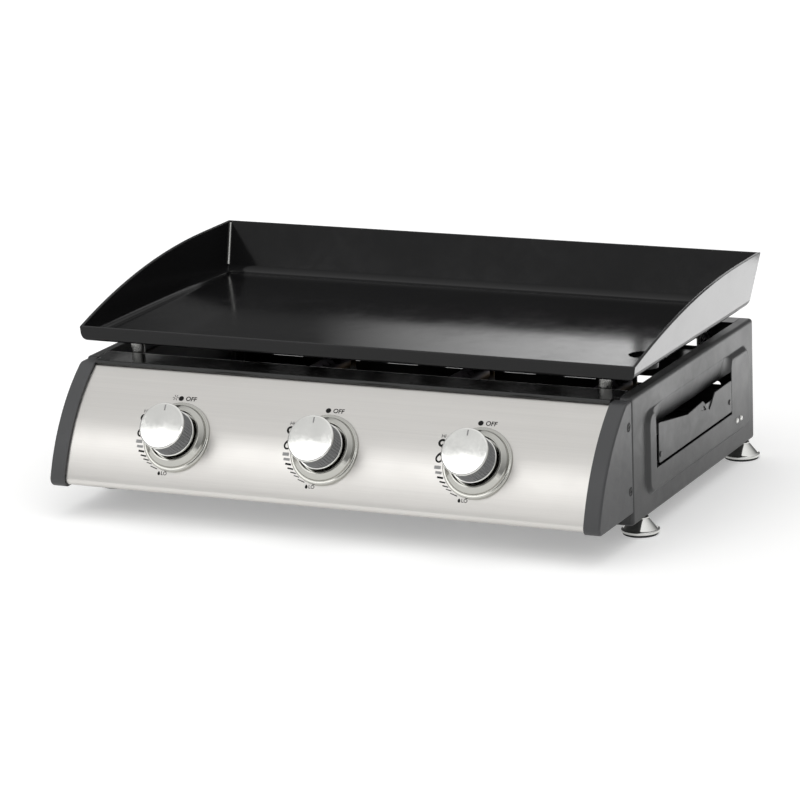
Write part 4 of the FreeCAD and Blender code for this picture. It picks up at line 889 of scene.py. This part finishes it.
def soft_box(name, place, aim, width, height, power, in_gloss=True, fades=False):
    """Area lamp out of the camera's own view; where asked, out of reflections or fading along its width."""
    lamp = bpy.data.lights.new(name, "AREA")
    lamp.shape = "RECTANGLE"
    lamp.size = width
    lamp.size_y = height
    lamp.energy = power
    holder = bpy.data.objects.new(name, lamp)
    holder.location = place
    holder.rotation_mode = "QUATERNION"
    holder.rotation_quaternion = (Vector(aim) - Vector(place)).to_track_quat("-Z", "Y")
    holder.visible_camera = False
    holder.visible_glossy = in_gloss
    if fades:
        lamp.use_nodes = True
        tree = lamp.node_tree
        spot = add_node(tree, "ShaderNodeNewGeometry").outputs["Parametric"]
        across = add_node(tree, "ShaderNodeSeparateXYZ", {0: spot}).outputs["X"]
        tree.links.new(spread(tree, across, 2.0, 0.0), tree.nodes["Emission"].inputs["Strength"])
    bpy.context.scene.collection.objects.link(holder)


class GRIDDLE_OT_stage(bpy.types.Operator):
    """Set the floor, the light and the camera"""
    bl_idname = "griddle.stage"
    bl_label = "Set Stage"

    def execute(self, context):
        studio = settings("studio")
        scene = context.scene
        scene.view_settings.view_transform = "Standard"
        self.lay_floor(scene, studio)
        self.light_room(scene, studio)
        self.hang_lamps()
        self.place_camera(scene, studio)
        return {"FINISHED"}

    def hang_lamps(self):
        """Soft boxes over, in front of and behind the griddle; powers are in watts."""
        soft_box("overhead", place=(0.0, -0.2, 2.6), aim=(0.0, 0.0, 0.0), width=2.6, height=2.6, power=13.0,
                 in_gloss=False)
        soft_box("key", place=(-0.37, -0.75, 0.585), aim=(-0.37, 0.0, 0.585), width=1.1, height=0.2,
                 power=0.97)
        soft_box("front", place=(-1.0, -2.4, 1.3), aim=(-1.0, 0.0, 1.3), width=2.4, height=0.9, power=5.6)
        soft_box("fill", place=(-1.0, -2.4, 0.95), aim=(-1.0, 0.0, 0.95), width=2.4, height=1.1, power=5.2,
                 in_gloss=False)
        soft_box("bounce", place=(0.51, 0.55, 0.004), aim=(0.51, 0.55, 1.0), width=0.18, height=0.7,
                 power=1.05)
        soft_box("window", place=(-0.3, 0.85, 0.42), aim=(-0.3, 0.0, 0.42), width=0.44, height=0.3, power=0.4,
                 fades=True)
        soft_box("rim_light", place=(0.07, 0.86, 0.4), aim=(0.07, 0.0, 0.4), width=0.28, height=0.26,
                 power=0.24)

    def lay_floor(self, scene, studio):
        """Pale floor that shows white to the camera and to reflections, and keeps the shadow."""
        half_width = 30.0
        near, far = 0.5, 3.5
        sheet = bmesh.new()
        bmesh.ops.create_grid(sheet, x_segments=2, y_segments=2, size=half_width)
        mesh = bpy.data.meshes.new("floor")
        sheet.to_mesh(mesh)
        sheet.free()
        floor = bpy.data.objects.new("floor", mesh)
        scene.collection.objects.link(floor)
        material, tree, shader = new_finish("floor_white", Base_Color=shade(studio.floor), Roughness=0.9,
                                            Specular_IOR_Level=0.1, Emission_Color=(1.0, 1.0, 1.0, 1.0))
        path = add_node(tree, "ShaderNodeLightPath")
        seen = maths(tree, "MAXIMUM", path.outputs["Is Camera Ray"], path.outputs["Is Glossy Ray"])
        seen = maths(tree, "MAXIMUM", seen, path.outputs["Is Transmission Ray"])
        place = add_node(tree, "ShaderNodeTexCoord").outputs["Object"]
        reach = add_node(tree, "ShaderNodeVectorMath", {0: place}, operation="LENGTH").outputs["Value"]
        glow = spread(tree, reach, studio.near_glow, studio.far_glow, from_low=near, from_high=far)
        tree.links.new(maths(tree, "MULTIPLY", seen, glow), shader.inputs["Emission Strength"])
        mesh.materials.append(material)

    def light_room(self, scene, studio):
        """Room light that is stronger overhead and in front, with a white band at the horizon."""
        world = bpy.data.worlds.new("studio")
        scene.world = world
        world.use_nodes = True
        tree = world.node_tree
        tree.nodes.clear()
        place = add_node(tree, "ShaderNodeTexCoord").outputs["Generated"]
        heading = add_node(tree, "ShaderNodeSeparateXYZ", {0: place}).outputs
        level = spread(tree, heading["Y"], studio.front, studio.back, from_low=-0.8, from_high=0.8)
        sky = spread(tree, heading["Z"], level, studio.overhead, from_low=0.25, from_high=0.9)
        band = spread(tree, heading["Z"], 1.0, 0.0, from_low=0.09, from_high=0.17)
        brightest = maths(tree, "MAXIMUM", sky, band)
        light = add_node(tree, "ShaderNodeBackground", {"Color": (1.0, 1.0, 1.0, 1.0), "Strength": brightest})
        output = tree.nodes.new("ShaderNodeOutputWorld")
        tree.links.new(light.outputs[0], output.inputs["Surface"])

    def place_camera(self, scene, studio):
        """Camera set out from the target, turned round its own axis by the roll."""
        lens = bpy.data.cameras.new("camera")
        lens.lens = studio.lens
        lens.sensor_width = 36.0
        lens.clip_end = 100.0
        camera = bpy.data.objects.new("camera", lens)
        level = math.cos(studio.elevation)
        back = Vector((math.sin(studio.azimuth) * level, -math.cos(studio.azimuth) * level,
                       math.sin(studio.elevation)))
        right = Vector((math.cos(studio.azimuth), math.sin(studio.azimuth), 0))
        upward = back.cross(right)
        turned_right = right * math.cos(studio.roll) - upward * math.sin(studio.roll)
        turned_up = right * math.sin(studio.roll) + upward * math.cos(studio.roll)
        place = Vector(studio.target) + turned_right * studio.across + turned_up * studio.upward
        place += back * studio.distance
        turn = Matrix((turned_right, turned_up, back)).transposed().to_4x4()
        camera.matrix_world = Matrix.Translation(place) @ turn
        scene.collection.objects.link(camera)
        scene.camera = camera


GROUPS = {
    "finishes": GriddleFinishes,
    "dials": GriddleDials,
    "details": GriddleDetails,
    "studio": GriddleStudio,
}
OPERATORS = (GRIDDLE_OT_plate, GRIDDLE_OT_welds, GRIDDLE_OT_casing, GRIDDLE_OT_controls, GRIDDLE_OT_gas_train,
             GRIDDLE_OT_inlet_thread, GRIDDLE_OT_dials, GRIDDLE_OT_stage)


class GRIDDLE_PT_build(bpy.types.Panel):
    """Steps and settings of the griddle"""
    bl_idname = "GRIDDLE_PT_build"
    bl_label = "Gas Griddle"
    bl_space_type = "VIEW_3D"
    bl_region_type = "UI"
    bl_category = "Griddle"

    def draw(self, context):
        for operator in OPERATORS:
            self.layout.operator(operator.bl_idname)
        for name in GROUPS:
            group = settings(name)
            column = self.layout.column()
            for key in group.bl_rna.properties.keys():
                if key not in ("rna_type", "name"):
                    column.prop(group, key)


def register():
    for name, group in GROUPS.items():
        bpy.utils.register_class(group)
        setattr(bpy.types.Scene, "griddle_" + name, PointerProperty(type=group))
    for operator in OPERATORS:
        bpy.utils.register_class(operator)
    bpy.utils.register_class(GRIDDLE_PT_build)


def unregister():
    bpy.utils.unregister_class(GRIDDLE_PT_build)
    for operator in reversed(OPERATORS):
        bpy.utils.unregister_class(operator)
    for name, group in GROUPS.items():
        delattr(bpy.types.Scene, "griddle_" + name)
        bpy.utils.unregister_class(group)


def main():
    register()
    bpy.ops.griddle.plate()
    bpy.ops.griddle.welds()
    bpy.ops.griddle.casing()
    bpy.ops.griddle.controls()
    bpy.ops.griddle.gas_train()
    bpy.ops.griddle.inlet_thread()
    bpy.ops.griddle.dials()
    bpy.ops.griddle.stage()


if __name__ == "__main__":
    main()
